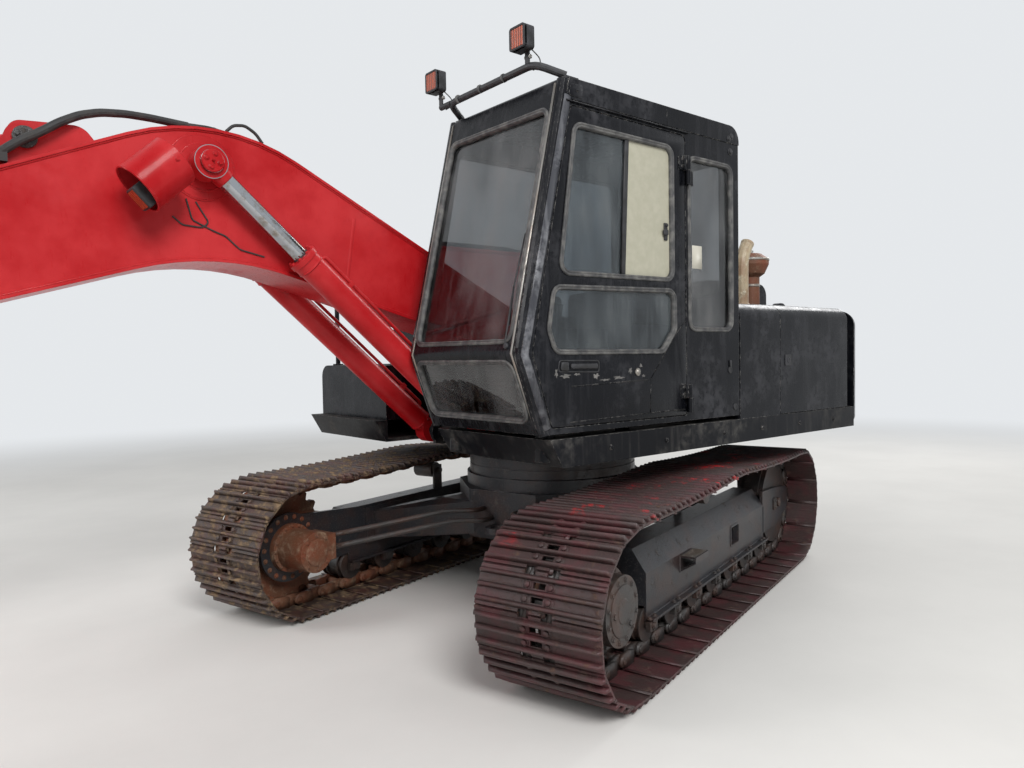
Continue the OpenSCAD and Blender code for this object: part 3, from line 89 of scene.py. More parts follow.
def linear(code):
    """sRGB hex to linear red, green and blue"""
    parts = [int(code[i:i + 2], 16) / 255 for i in (1, 3, 5)]
    return tuple(p / 12.92 if p <= 0.04045 else ((p + 0.055) / 1.055) ** 2.4 for p in parts)


def colour4(colour):
    """A colour's socket value, from sRGB hex or from linear red, green and blue"""
    return (*(linear(colour) if isinstance(colour, str) else colour), 1.0)


# Points, outlines and planes
def turned(p, angle):
    """A point turned about the origin, seen with X to the right and Z up"""
    c, s = math.cos(angle), math.sin(angle)
    return (p[0] * c - p[1] * s, p[0] * s + p[1] * c)


def polar(radius, angle):
    return (radius * math.cos(angle), radius * math.sin(angle))


def plus(a, b):
    return tuple(p + q for p, q in zip(a, b))


def mix(a, b, t):
    return tuple(p + (q - p) * t for p, q in zip(a, b))


def rect(left, bottom, right, top):
    """The four corners of an upright rectangle, counter-clockwise"""
    return [(left, bottom), (right, bottom), (right, top), (left, top)]


def filleted(points, radii, steps=8):
    """A closed outline with its corners rounded; it runs counter-clockwise"""
    radii = radii if isinstance(radii, (list, tuple)) else [radii] * len(points)
    line = []
    for i, (p, radius) in enumerate(zip(points, radii)):
        if not radius:
            line.append(p)
            continue
        before, corner, after = (Vector(points[i - 1]), Vector(p), Vector(points[(i + 1) % len(points)]))
        u, v = (corner - before).normalized(), (after - corner).normalized()
        turn = math.atan2(u.x * v.y - u.y * v.x, u.dot(v))
        side = Vector((-u.y, u.x)) * math.copysign(radius, turn)
        start = corner - u * radius * math.tan(abs(turn) / 2)
        centre = start + side
        for k in range(steps + 1):
            line.append(plus(centre, turned(-side, turn * k / steps)))
    return line


def inset(points, d):
    """An outline moved inward by d"""
    moved = []
    for i, p in enumerate(points):
        u = (Vector(p) - Vector(points[i - 1])).normalized()
        v = (Vector(points[(i + 1) % len(points)]) - Vector(p)).normalized()
        a, b = Vector((-u.y, u.x)), Vector((-v.y, v.x))
        moved.append(tuple(Vector(p) + (a + b) * (d / (1 + a.dot(b)))))
    return moved


def on_side(y, sign=1):
    """A plane beside the machine: outline in X and Z, height along Y"""
    return lambda u, v, h: Vector((u, sign * (y + h), v))


def on_top(z):
    return lambda u, v, h: Vector((u, v, z + h))


def on_back(x):
    """A plane facing the rear: outline in Y and Z, height along -X"""
    return lambda u, v, h: Vector((x - h, u, v))


def on_screen(foot, lean):
    """The slanted plane of a windscreen pane: outline across and up, height forward"""
    c, s = math.cos(lean), math.sin(lean)
    return lambda u, v, h: Vector((foot[0] + h * c - v * s, u, foot[1] + h * s + v * c))


def on_tracks(point):
    """From the tracks' own directions to the machine's"""
    x, y = turned((point[0], point[1]), TURN)
    return Vector((x, y, point[2]))


def on_arm(u, v, y=0.0):
    """From the arm's own line, which starts at the boom's tip pin"""
    x, z = plus(BOOM_TIP, turned((u, v), -ARM_DROP))
    return Vector((x, y, z))


def on_bucket(u, v, y=0.0):
    pin = plus(BOOM_TIP, turned((ARM_LEN, 0), -ARM_DROP))
    x, z = plus(pin, turned((u, v), -BUCKET_DROP))
    return Vector((x, y, z))


# Meshes as lists of corners and faces
def joined(shapes):
    """Several shapes as one"""
    corners, faces = [], []
    for more, sides in shapes:
        faces += [[i + len(corners) for i in side] for side in sides]
        corners += [Vector(p) for p in more]
    return corners, faces


def moved(shape, place):
    """A shape with each corner sent through place"""
    return [place(p) for p in shape[0]], shape[1]


def prism(outline, plane, low, high):
    """An outline between two heights over a plane"""
    n = len(outline)
    corners = [plane(u, v, h) for h in (low, high) for u, v in outline]
    faces = [[i, (i + 1) % n, n + (i + 1) % n, n + i] for i in range(n)]
    return corners, faces + [list(range(n))[::-1], list(range(n, 2 * n))]


def dished(outline, plane, low, high, chamfer):
    """A prism with a chamfered upper edge"""
    n = len(outline)
    upper = inset(outline, chamfer)
    corners = [plane(u, v, low) for u, v in outline] + [plane(u, v, high - chamfer) for u, v in outline]
    corners += [plane(u, v, high) for u, v in upper]
    faces = [[i + k, (i + 1) % n + k, n + (i + 1) % n + k, n + i + k] for k in (0, n) for i in range(n)]
    return corners, faces + [list(range(n))[::-1], list(range(2 * n, 3 * n))]


def band(outline, plane, profile, closed=True):
    """A profile of (outward, up) points led along an outline"""
    n, m = len(outline), len(profile)
    corners = []
    for i, p in enumerate(outline):
        before = Vector(outline[i - 1] if closed or i else p)
        after = Vector(outline[(i + 1) % n] if closed or i < n - 1 else p)
        u = (Vector(p) - before).normalized() if (Vector(p) - before).length > 1e-9 else None
        v = (after - Vector(p)).normalized() if (after - Vector(p)).length > 1e-9 else None
        u, v = u or v, v or u
        a, b = Vector((u.y, -u.x)), Vector((v.y, -v.x))
        side = (a + b) / max(0.3, 1 + a.dot(b))
        corners += [plane(p[0] + side.x * out, p[1] + side.y * out, up) for out, up in profile]
    last = n if closed else n - 1
    faces = [
        [i * m + k, ((i + 1) % n) * m + k, ((i + 1) % n) * m + (k + 1) % m, i * m + (k + 1) % m]
        for i in range(last) for k in range(m)
    ]
    if not closed:
        faces += [list(range(m))[::-1], [(n - 1) * m + k for k in range(m)]]
    return corners, faces


def half_round(width, height, sink=0.002, steps=6):
    """A bead's profile: width across, height over the surface"""
    angles = [math.pi * k / steps for k in range(steps + 1)]
    line = [(width / 2 * math.cos(angle), height * math.sin(angle)) for angle in angles]
    return [(width / 2, -sink)] + line + [(-width / 2, -sink)]


def hoops(count, sides):
    """The faces between hoops of corners that follow each other, each with the same number of sides"""
    return [
        [i * sides + k, i * sides + (k + 1) % sides, (i + 1) * sides + (k + 1) % sides, (i + 1) * sides + k]
        for i in range(count - 1) for k in range(sides)
    ]


def hoop_ends(count, sides):
    """The faces that close the first hoop and the last"""
    return [list(range(sides))[::-1], [(count - 1) * sides + k for k in range(sides)]]


def tube(route, radius, sides=10):
    """A round tube through the points of a route"""
    route = [Vector(p) for p in route]
    n = len(route)
    ways = []
    for i in range(n):
        back = route[i] - route[i - 1] if i else Vector()
        ahead = route[i + 1] - route[i] if i < n - 1 else Vector()
        ways.append((back.normalized() + ahead.normalized()).normalized())
    side = ways[0].orthogonal().normalized()
    angles = [math.tau * k / sides for k in range(sides)]
    corners = []
    for point, way in zip(route, ways):
        side = (side - way * side.dot(way)).normalized()
        other = way.cross(side)
        corners += [point + (side * math.cos(a) + other * math.sin(a)) * radius for a in angles]
    return corners, hoops(n, sides) + hoop_ends(n, sides)


def curve_through(points, steps=6):
    """A smooth line through all the points"""
    points = [Vector(p) for p in points]
    ends = [points[0] * 2 - points[1], *points, points[-1] * 2 - points[-2]]
    line = []
    for a, b, c, d in zip(ends, ends[1:], ends[2:], ends[3:]):
        for k in range(steps):
            t = k / steps
            square, cube = a * 2 - b * 5 + c * 4 - d, b * 3 - a - c * 3 + d
            line.append((b * 2 + (c - a) * t + square * t * t + cube * t ** 3) / 2)
    return line + [points[-1]]


def spokes(way, count, start=0.0):
    """Unit arrows evenly spaced round an axis"""
    side = way.orthogonal().normalized()
    other = way.cross(side)
    angles = [start + math.tau * k / count for k in range(count)]
    return [side * math.cos(angle) + other * math.sin(angle) for angle in angles]


def lathe(start, way, profile, sides=24, ring=False):
    """A profile of (distance along, radius) points turned round an axis; a ring closes on itself"""
    way = Vector(way).normalized()
    arrows = spokes(way, sides)
    corners = [
        Vector(start) + way * along + arrow * radius for along, radius in profile for arrow in arrows
    ]
    faces = hoops(len(profile), sides)
    if not ring:
        return corners, faces + hoop_ends(len(profile), sides)
    last = (len(profile) - 1) * sides
    return corners, faces + [[last + k, last + (k + 1) % sides, (k + 1) % sides, k] for k in range(sides)]


# Small parts that repeat
def box_part(low, high, chamfer=0.003):
    """A block with chamfered edges all round"""
    low, high = Vector(low), Vector(high)
    mesh = bmesh.new()
    bmesh.ops.create_cube(mesh, size=1)
    for corner in mesh.verts:
        corner.co = Vector((low[i] + (corner.co[i] + 0.5) * (high[i] - low[i]) for i in range(3)))
    bmesh.ops.bevel(
        mesh, geom=mesh.edges[:], offset=chamfer, segments=2, profile=0.5, affect="EDGES",
        clamp_overlap=True
    )
    mesh.verts.index_update()
    shape = [v.co.copy() for v in mesh.verts], [[v.index for v in f.verts] for f in mesh.faces]
    mesh.free()
    return shape


def bolt(seat, way, radius=0.012, height=0.010, washer=True):
    """A hexagon bolt head on its washer"""
    way = Vector(way).normalized()
    seat = Vector(seat)
    parts = []
    if washer:
        disc = [(-0.001, radius * 1.45), (0.002, radius * 1.45), (0.0025, radius * 1.3)]
        parts.append(lathe(seat, way, disc, 12))
    parts.append(lathe(seat, way, [(0.0, radius), (height * 0.8, radius), (height, radius * 0.84)], 6))
    return joined(parts)


def bolt_ring(centre, way, ring, count, radius=0.012, height=0.012, start=0.0):
    """Bolts on a circle round an axis"""
    way = Vector(way).normalized()
    seats = [Vector(centre) + arrow * ring for arrow in spokes(way, count, start)]
    return joined([bolt(seat, way, radius, height) for seat in seats])


def mirrored(shape):
    """A shape's mirror image across the middle"""
    corners, faces = shape
    return [Vector((p[0], -p[1], p[2])) for p in corners], [face[::-1] for face in faces]


def both_sides(shape):
    """A shape and its mirror image across the middle"""
    return joined([shape, mirrored(shape)])


# Each finish by its short name; the finishes' operator fills it
FINISHES = {}


def piece(name, shape, finish, body, smooth=35.0, bevel=0.0):
    """A new object with its finish, riding on a body; it shades round up to the angle smooth"""
    mesh = bpy.data.meshes.new(name)
    corners, faces = joined(shape) if isinstance(shape, list) else shape
    mesh.from_pydata([tuple(p) for p in corners], [], faces)
    outward = bmesh.new()
    outward.from_mesh(mesh)
    bmesh.ops.recalc_face_normals(outward, faces=outward.faces[:])
    outward.to_mesh(mesh)
    outward.free()
    mesh.materials.append(FINISHES[finish])
    thing = bpy.data.objects.new(name, mesh)
    bpy.context.scene.collection.objects.link(thing)
    if bevel:
        rounding = thing.modifiers.new("Rounded edges", "BEVEL")
        rounding.width, rounding.segments, rounding.limit_method = bevel, 2, "ANGLE"
    if smooth:
        mesh.shade_smooth()
        chosen = {key: [thing] for key in ("selected_objects", "selected_editable_objects")}
        with bpy.context.temp_override(object=thing, active_object=thing, **chosen):
            bpy.ops.object.shade_auto_smooth(angle=math.radians(smooth))
    else:
        mesh.shade_flat()
    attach(thing, body)
    return thing


# Finishes
def connect(tree, node, sockets):
    """Sets a node's sockets; each takes a value or another node's output"""
    for name, value in sockets.items():
        if isinstance(value, bpy.types.NodeSocket):
            tree.links.new(value, node.inputs[name])
        else:
            node.inputs[name].default_value = value


def add(tree, kind, sockets=None, out=0, **settings):
    """One node with its settings and links, as the output that is asked for"""
    made = tree.nodes.new("ShaderNode" + kind)
    for name, value in settings.items():
        setattr(made, name, value)
    connect(tree, made, sockets or {})
    return made.outputs[out]


def started(name):
    """A new material with its tree, its shader and the place on the object in metres"""
    made = bpy.data.materials.new(name)
    made.use_nodes = True
    tree = made.node_tree
    return made, tree, tree.nodes["Principled BSDF"], add(tree, "TexCoord", out="Object")


def patches(tree, place, size, low, high, stretch=(1, 1, 1), detail=6.0, roughness=0.6, seed=0.0):
    """Soft-edged patches of about one size in metres, from 0 to 1"""
    shift = (seed, seed * 1.7, seed * 0.6)
    spot = add(tree, "Mapping", {"Vector": place, "Location": shift, "Scale": stretch})
    cloud = add(
        tree, "TexNoise", {"Vector": spot, "Scale": 1 / size, "Detail": detail, "Roughness": roughness}
    )
    return add(tree, "MapRange", {0: cloud, 1: low, 2: high}, interpolation_type="SMOOTHSTEP")


def edges(tree, radius):
    """1 on the edges and 0 on flat faces"""
    soft = add(tree, "Bevel", {"Radius": radius}, samples=4)
    sharp = add(tree, "NewGeometry", out="Normal")
    same = add(tree, "VectorMath", {0: soft, 1: sharp}, "Value", operation="DOT_PRODUCT")
    return add(tree, "MapRange", {0: same, 1: 0.995, 2: 0.86})


def facing_up(tree):
    """1 where a face looks up"""
    height = add(tree, "SeparateXYZ", {0: add(tree, "NewGeometry", out="Normal")}, 2)
    return add(tree, "MapRange", {0: height, 1: 0.55, 2: 0.95})


def above(tree, place, start, end):
    """0 below the height start and 1 above the height end"""
    height = add(tree, "SeparateXYZ", {0: place}, 2)
    return add(tree, "MapRange", {0: height, 1: start, 2: end}, interpolation_type="SMOOTHSTEP")


def grain(tree, place, size, strength, depth, under=None, stretch=(1, 1, 1), detail=3.0):
    """Bumps of one size in metres, with their depth in metres, on top of the bumps under them"""
    spot = add(tree, "Mapping", {"Vector": place, "Scale": stretch})
    height = add(tree, "TexNoise", {"Vector": spot, "Scale": 1 / size, "Detail": detail})
    sockets = {"Strength": strength, "Distance": depth, "Height": height}
    if under:
        sockets["Normal"] = under
    return add(tree, "Bump", sockets)


def brushed_repaint(name, paint, chalk, metal, chalk_share, gloss, coat=0.0, dent=0.6):
    """Enamel brushed over old paint: shallow strokes, chalky smudges, bare edges and small dents"""
    made, tree, shader, place = started(name)
    paint = colour4(paint)
    # smudges 300 mm across with finer rubs of 40 mm inside them, and runs that rain drew down
    smudge = patches(tree, place, 0.30, 0.47, 0.72)
    finer = patches(tree, place, 0.040, 0.35, 0.62, seed=3.0)
    smudge = add(tree, "Math", {0: smudge, 1: finer}, operation="MULTIPLY")
    runs = patches(tree, place, 0.05, 0.50, 0.75, stretch=(1, 1, 0.08), seed=7.0)
    runs = add(tree, "Math", {0: runs, 1: 0.35}, operation="MULTIPLY")
    dust = add(tree, "Math", {0: smudge, 1: runs}, operation="ADD")
    dust = add(tree, "Math", {0: dust, 1: chalk_share}, operation="MULTIPLY")
    # more of it lies on the faces that look up
    top = patches(tree, place, 0.12, 0.30, 0.70, seed=5.0)
    top = add(tree, "Math", {0: facing_up(tree), 1: top}, operation="MULTIPLY")
    top = add(tree, "Math", {0: top, 1: chalk_share}, operation="MULTIPLY")
    dust = add(tree, "Math", {0: dust, 1: top}, operation="MAXIMUM")
    # the coat's depth differs by the brush, in patches of 700 mm
    thin = add(tree, "HueSaturation", {"Color": paint, "Value": 1.45, "Saturation": 0.95})
    thinner = patches(tree, place, 0.7, 0.35, 0.65, seed=11.0)
    colour = add(tree, "Mix", {0: thinner, 6: paint, 7: thin}, 2, data_type="RGBA")
    colour = add(tree, "Mix", {0: dust, 6: colour, 7: colour4(chalk)}, 2, data_type="RGBA")
    knocked = patches(tree, place, 0.025, 0.46, 0.60, seed=2.0)
    worn = add(tree, "Math", {0: edges(tree, 0.004), 1: knocked}, operation="MULTIPLY")
    colour = add(tree, "Mix", {0: worn, 6: colour, 7: colour4(metal)}, 2, data_type="RGBA")
    rough = add(tree, "MapRange", {0: dust, 1: 0.0, 2: 0.6, 3: gloss, 4: 0.75})
    rub = patches(tree, place, 0.015, 0.3, 0.7, stretch=(1, 1, 0.25), seed=1.0)
    rub = add(tree, "Math", {0: rub, 1: 0.12}, operation="MULTIPLY")
    soft = add(tree, "Bevel", {"Radius": 0.004}, samples=4)
    dents = grain(tree, place, 0.35, dent, 0.020, soft, detail=1.0)
    strokes = grain(tree, place, 0.012, 0.25, 0.0012, dents, stretch=(0.25, 0.25, 1.0))
    connect(tree, shader, {
        "Base Color": colour, "Roughness": add(tree, "Math", {0: rough, 1: rub}, operation="ADD"),
        "Specular IOR Level": 0.12, "Coat Weight": coat, "Coat Roughness": 0.12, "Normal": strokes,
    })
    return made


def earthy_steel(name, steel, earth, rust, earth_share, gloss, overspray=None, shine=0.0):
    """Bare or thinly painted steel that has worked in soil: dried mud, rust and rubbed spots"""
    made, tree, shader, place = started(name)
    # clods of 60 mm and specks of 8 mm
    bare = 0.4 * earth_share
    clods = patches(tree, place, 0.060, 0.62 - bare, 0.85 - bare, detail=9.0, roughness=0.7)
    specks = patches(tree, place, 0.008, 0.55, 0.70, seed=4.0)
    rusty = patches(tree, place, 0.16, 0.42, 0.66, seed=8.0)
    rusty = add(tree, "Math", {0: rusty, 1: 0.7}, operation="MULTIPLY")
    colour = add(tree, "Mix", {0: rusty, 6: colour4(steel), 7: colour4(rust)}, 2, data_type="RGBA")
    if overspray:
        # a fine mist of paint on the upper run, in strips where the brush and the wind left it
        strips = patches(tree, place, 0.22, 0.56, 0.72, seed=6.0)
        flecks = patches(tree, place, 0.018, 0.42, 0.60, seed=9.0, stretch=(0.5, 0.5, 1))
        mist = add(tree, "Math", {0: strips, 1: flecks}, operation="MULTIPLY")
        mist = add(tree, "Math", {0: mist, 1: above(tree, place, 0.70, 0.84)}, operation="MULTIPLY")
        colour = add(tree, "Mix", {0: mist, 6: colour, 7: colour4(overspray)}, 2, data_type="RGBA")
    specks = add(tree, "Math", {0: specks, 1: 0.35}, operation="MULTIPLY")
    mud = add(tree, "Math", {0: clods, 1: specks}, operation="MAXIMUM")
    colour = add(tree, "Mix", {0: mud, 6: colour, 7: colour4(earth)}, 2, data_type="RGBA")
    knocked = patches(tree, place, 0.03, 0.45, 0.65, seed=12.0)
    rubbed = add(tree, "Math", {0: edges(tree, 0.003), 1: knocked}, operation="MULTIPLY")
    rubbed = add(tree, "Math", {0: rubbed, 1: 0.55}, operation="MULTIPLY")
    colour = add(tree, "Mix", {0: rubbed, 6: colour, 7: colour4("#6f6864")}, 2, data_type="RGBA")
    soft = add(tree, "Bevel", {"Radius": 0.003}, samples=4)
    coarse = add(tree, "Bump", {"Strength": 0.7, "Distance": 0.006, "Height": mud, "Normal": soft})
    connect(tree, shader, {
        "Base Color": colour, "Roughness": add(tree, "MapRange", {0: mud, 3: gloss, 4: 0.92}),
        "Metallic": shine, "Normal": grain(tree, place, 0.004, 0.35, 0.0008, coarse),
    })
    return made


def hard_chrome(name):
    """Hard-chromed rod, ground and polished: mirror bright, with oil film and a fine grain on it"""
    made, tree, shader, place = started(name)
    film = patches(tree, place, 0.05, 0.45, 0.75)
    oily = {0: film, 6: colour4("#a4a7ab"), 7: colour4("#857d72")}
    connect(tree, shader, {
        "Base Color": add(tree, "Mix", oily, 2, data_type="RGBA"), "Metallic": 1.0,
        "Roughness": add(tree, "MapRange", {0: film, 3: 0.10, 4: 0.30}),
        "Normal": grain(tree, place, 0.003, 0.10, 0.0002),
    })
    return made


def dusty_glass(name, tint, dust, dust_share):
    """Float glass under road dust: clear, with a thin wash and soft runs of dust on it"""
    made, tree, shader, place = started(name)
    runs = patches(tree, place, 0.030, 0.45, 0.80, stretch=(1, 1, 0.12), seed=6.0, detail=2.0)
    runs = add(tree, "Math", {0: runs, 1: 0.2}, operation="MULTIPLY")
    wash = patches(tree, place, 0.30, 0.35, 0.80, stretch=(1, 1, 0.5), seed=3.0, detail=2.0)
    wash = add(tree, "Math", {0: wash, 1: 0.6}, operation="MULTIPLY")
    share = add(tree, "Math", {0: runs, 1: wash}, operation="ADD")
    share = add(tree, "Math", {0: share, 1: dust_share}, operation="MULTIPLY")
    dimmed = {0: share, 6: colour4(tint), 7: colour4(dust)}
    connect(tree, shader, {
        "Base Color": add(tree, "Mix", dimmed, 2, data_type="RGBA"), "Roughness": 0.0, "IOR": 1.45,
        "Transmission Weight": add(tree, "MapRange", {0: share, 3: 1.0, 4: 0.0}),
    })
    return made


def moulded(name, colour, lighter, rough, size=0.0015):
    """Moulded rubber or plastic: fine leather grain, greyed where hands and weather reach it"""
    made, tree, shader, place = started(name)
    faded = patches(tree, place, 0.05, 0.35, 0.75)
    greyed = add(tree, "Math", {0: faded, 1: 0.6}, operation="MULTIPLY")
    rubbed = add(tree, "Math", {0: edges(tree, 0.002), 1: 0.6}, operation="MULTIPLY")
    worn = add(tree, "Math", {0: greyed, 1: rubbed}, operation="MAXIMUM")
    tones = {0: worn, 6: colour4(colour), 7: colour4(lighter)}
    connect(tree, shader, {
        "Base Color": add(tree, "Mix", tones, 2, data_type="RGBA"),
        "Roughness": add(tree, "MapRange", {0: faded, 3: rough, 4: min(1.0, rough + 0.25)}),
        "Normal": grain(tree, place, size, 0.3, 0.0003),
    })
    return made


def woven_cloth(name):
    """Seat cloth of bouclé yarn: 3 mm ribs, drawn twice as coarse so that they show"""
    made, tree, shader, place = started(name)
    rib = {"Vector": place, "Scale": 50.0, "Distortion": 1.5, "Detail": 2.0}
    ribs, cross = (add(tree, "TexWave", rib, 1, bands_direction=way) for way in "YX")
    yarn = add(tree, "Math", {0: ribs, 1: cross}, operation="MULTIPLY")
    colour = {0: yarn, 6: colour4("#1b1c1f"), 7: colour4("#3a3b40")}
    colour = add(tree, "Mix", colour, 2, data_type="RGBA")
    dust = patches(tree, place, 0.10, 0.45, 0.75)
    dust = add(tree, "Math", {0: dust, 1: 0.35}, operation="MULTIPLY")
    connect(tree, shader, {
        "Base Color": add(tree, "Mix", {0: dust, 6: colour, 7: colour4("#6b6256")}, 2, data_type="RGBA"),
        "Roughness": 0.95, "Sheen Weight": 0.3,
        "Normal": add(tree, "Bump", {"Strength": 0.6, "Distance": 0.0015, "Height": yarn}),
    })
    return made


def lamp_lens(name, glass, rib_shade_colour):
    """Pressed amber lens with 8 mm ribs, bumped, whose light and dark bands are a painted highlight and
    painted shade
    """
    made, tree, shader, place = started(name)
    ribs = add(tree, "TexWave", {"Vector": place, "Scale": 18.0, "Distortion": 0.2}, 1, bands_direction="Y")
    # painted light: each rib runs from a painted shade colour to the glass's colour as a painted highlight
    colour = add(tree, "Mix", {0: ribs, 6: colour4(rib_shade_colour), 7: colour4(glass)}, 2, data_type="RGBA")
    dirt = patches(tree, place, 0.03, 0.45, 0.75)
    dirt = add(tree, "Math", {0: dirt, 1: 0.5}, operation="MULTIPLY")
    connect(tree, shader, {
        "Base Color": add(tree, "Mix", {0: dirt, 6: colour, 7: colour4("#5d4a3e")}, 2, data_type="RGBA"),
        "Roughness": 0.18, "Coat Weight": 0.2,
        "Normal": add(tree, "Bump", {"Strength": 0.25, "Distance": 0.002, "Height": ribs}),
    })
    return made


# Sizes and colours that a user would change
class PaintSettings(bpy.types.PropertyGroup):
    black: FloatVectorProperty(
        name="Black paint", description="Colour of the upperstructure", subtype="COLOR", size=3,
        default=linear("#0e0f13")
    )
    chalk: FloatVectorProperty(
        name="Chalk", description="Grey smudges on the black paint", subtype="COLOR", size=3,
        default=linear("#5f5f63")
    )
    red: FloatVectorProperty(
        name="Red paint", description="Colour of the boom and its cylinders", subtype="COLOR", size=3,
        default=linear("#a80e15")
    )
    wear: FloatProperty(
        name="Wear", description="How much chalk and dust lies on the paint", default=1.0, min=0.0, max=2.0
    )


class TrackSettings(bpy.types.PropertyGroup):
    shoe_width: FloatProperty(
        name="Shoe width", description="Width of a track shoe", default=0.650, unit="LENGTH"
    )
    plate: FloatProperty(
        name="Plate", description="Thickness of a shoe's plate", default=0.010, unit="LENGTH"
    )
    grouser: FloatProperty(
        name="Grouser", description="Height of a grouser over the plate", default=0.025, unit="LENGTH"
    )
    bolt_radius: FloatProperty(
        name="Shoe bolt", description="Radius of a shoe bolt's head", default=0.015, unit="LENGTH"
    )


class CabSettings(bpy.types.PropertyGroup):
    seal_width: FloatProperty(
        name="Seal width", description="Width of the windows' rubber seals", default=0.028, unit="LENGTH"
    )
    seal_height: FloatProperty(
        name="Seal height", description="How far the seals stand out", default=0.009, unit="LENGTH"
    )
    dust: FloatProperty(
        name="Dust", description="How much dust lies on the glass", default=0.55, min=0.0, max=1.0
    )


class StageSettings(bpy.types.PropertyGroup):
    floor: FloatVectorProperty(
        name="Floor", description="Colour of the studio floor", subtype="COLOR", size=3,
        default=linear("#e3e1dd")
    )
    key_power: FloatProperty(
        name="Key lamp", description="Power of the large soft lamp", default=1030.0, unit="POWER"
    )
    fill: FloatProperty(
        name="Fill", description="Strength of the light from all round", default=0.50, min=0.0, max=2.0
    )


# White as the eye sees it behind the object, and how bright it shows
BACKDROP = colour4("#eef1f4")
BACKDROP_LEVEL = 0.92

# Which finish each of the solid model's own pieces gets
FINISH_OF = {
    "black": (
        "cab_shell", "panel_left", "engine_hood", "service_door_left", "service_door_right",
        "counterweight", "tank_right", "handrails", "cab_door",
    ),
    "black_low": ("revolving_frame",),
    "red": (
        "boom", "boom_cylinder_barrels", "boom_lamp", "arm", "arm_cylinder_barrel",
        "bucket_cylinder_barrel",
    ),
    "arm": ("rocker_links", "bucket_link"),
    "chrome": ("boom_cylinder_rods", "arm_cylinder_rod", "bucket_cylinder_rod"),
    "frame": ("carbody", "slewing_ring", "track_frame_left", "track_frame_right"),
    "cast": (
        "sprocket_left", "idler_left", "track_rollers_left", "track_rollers_right", "carrier_rollers",
        "bucket", "travel_pipes",
    ),
    "rust": ("sprocket_right", "idler_right", "travel_motors", "air_cleaner"),
    "track": ("track_left",),
    "track_far": ("track_right",),
    "exhaust": ("exhaust",),
    "engine": ("engine_block", "swing_motor"),
    "glass": ("door_glass",),
    "screen": ("cab_glass",),
    "plastic": ("cab_controls", "lamp_bar"),
    "cloth": ("cab_seat",),
    "dark_rubber": ("boom_pipes",),
}


class EXCAVATOR_OT_finishes(bpy.types.Operator):
    """Makes every finish and puts it on the solid model's own pieces"""
    bl_idname = "excavator.finishes"
    bl_label = "Finishes"

    def execute(self, context):
        paint = context.scene.excavator_paint
        dust = context.scene.excavator_cab.dust
        wear, bare = paint.wear, "#8d8a86"
        FINISHES.update({
            # satin black over old paint: grey where it has chalked, bright only on knocked edges
            "black": brushed_repaint(
                "Black machine enamel, brushed", paint.black, paint.chalk, bare, 0.30 * wear, 0.18,
                coat=0.08),
            # the round pillar is rubbed, and its paler paint and silvery chalk also paint the tube's sheen
            # as a painted highlight
            "pillar": brushed_repaint(
                "Black enamel, rubbed, painted sheen on a tube", "#34353a", "#96979b", bare, 0.85 * wear, 0.16, coat=0.3),
            "primer": moulded("Primer bared by chipped enamel", "#5f5d5b", "#8b8884", 0.6),
            # the skirt and the door's lower half took the most stones and dirt
            "black_low": brushed_repaint(
                "Black machine enamel, dirty", paint.black, "#6d6a66", bare, 0.60 * wear, 0.30),
            # new gloss red that still shows the roller's strokes
            "red": brushed_repaint(
                "Red machine enamel, rolled", paint.red, "#b8343a", "#7d1014", 0.18 * wear, 0.26,
                coat=0.10, dent=0.25),
            "arm": brushed_repaint("Dark brown enamel, worn", "#2b211f", "#7a685a", "#8a7c72", 0.7, 0.45),
            # the near track worked on dry ground and caught the red paint's mist
            "track": earthy_steel(
                "Shoe steel, rusty", "#3b2b2a", "#6a5040", "#54262b", 0.18, 0.48, overspray="#c3141c"),
            # the far track is tan with mud
            "track_far": earthy_steel(
                "Shoe steel under dry mud", "#3b2f2c", "#8b7458", "#54302b", 0.42, 0.50),
            "frame": earthy_steel(
                "Dark grey frame paint, muddy", "#26272b", "#5c5046", "#3a2a26", 0.12, 0.36),
            "cast": earthy_steel("Cast steel, oily", "#33302f", "#5f5348", "#4a332a", 0.20, 0.42),
            "rust": earthy_steel("Rusted steel", "#6a4632", "#9a8068", "#7b3c22", 0.30, 0.62),
            "exhaust": earthy_steel(
                "Heat-tinted exhaust tube", "#b7a78a", "#d8cfb8", "#8a6248", 0.30, 0.45),
            "engine": earthy_steel("Engine iron, oily", "#4a4741", "#66594a", "#54443a", 0.22, 0.40),
            "chrome": hard_chrome("Hard chrome rod"),
            "bright": earthy_steel(
                "Rubbed zinc and bare steel", "#9a9792", "#77706a", "#8a7a6c", 0.15, 0.34, shine=0.7),
            "glass": dusty_glass("Toughened glass, dusty", "#7f8b93", "#7d7668", dust),
            "screen": dusty_glass("Laminated screen, dusty", "#a2a5a7", "#6e5c4e", dust * 0.8),
            # the sliding pane is filmed over: pale and even, and nothing shows through it
            "milky": moulded("Sliding pane with milky film", "#a9a693", "#b9b6a5", 0.30, 0.006),
            "rubber": moulded("Moulded rubber seal", "#3a3a3b", "#8b8985", 0.55),
            "dark_rubber": moulded("Hose rubber", "#1d1d1e", "#4d4a47", 0.60),
            "plastic": moulded("Moulded ABS, black", "#161617", "#45454a", 0.48),
            "cloth": woven_cloth("Seat cloth"),
            "label": moulded("Paper label, faded", "#d9d6cb", "#b9b4a4", 0.7),
            # both lamp finishes draw their ribs in painted highlight and painted shade; the lamp glass is
            # pale where it paints its reflector's shine
            "lens": lamp_lens("Pressed amber lens", "#c25a34", "#6a2416"),
            "lamp_glass": lamp_lens("Lamp glass, reflector's shine painted", "#c8ccd0", "#5b6066"),
        })
        for finish, names in FINISH_OF.items():
            for name in names:
                slots = NODES[name].data.materials
                slots.clear()
                slots.append(FINISHES[finish])
        return {"FINISHED"}


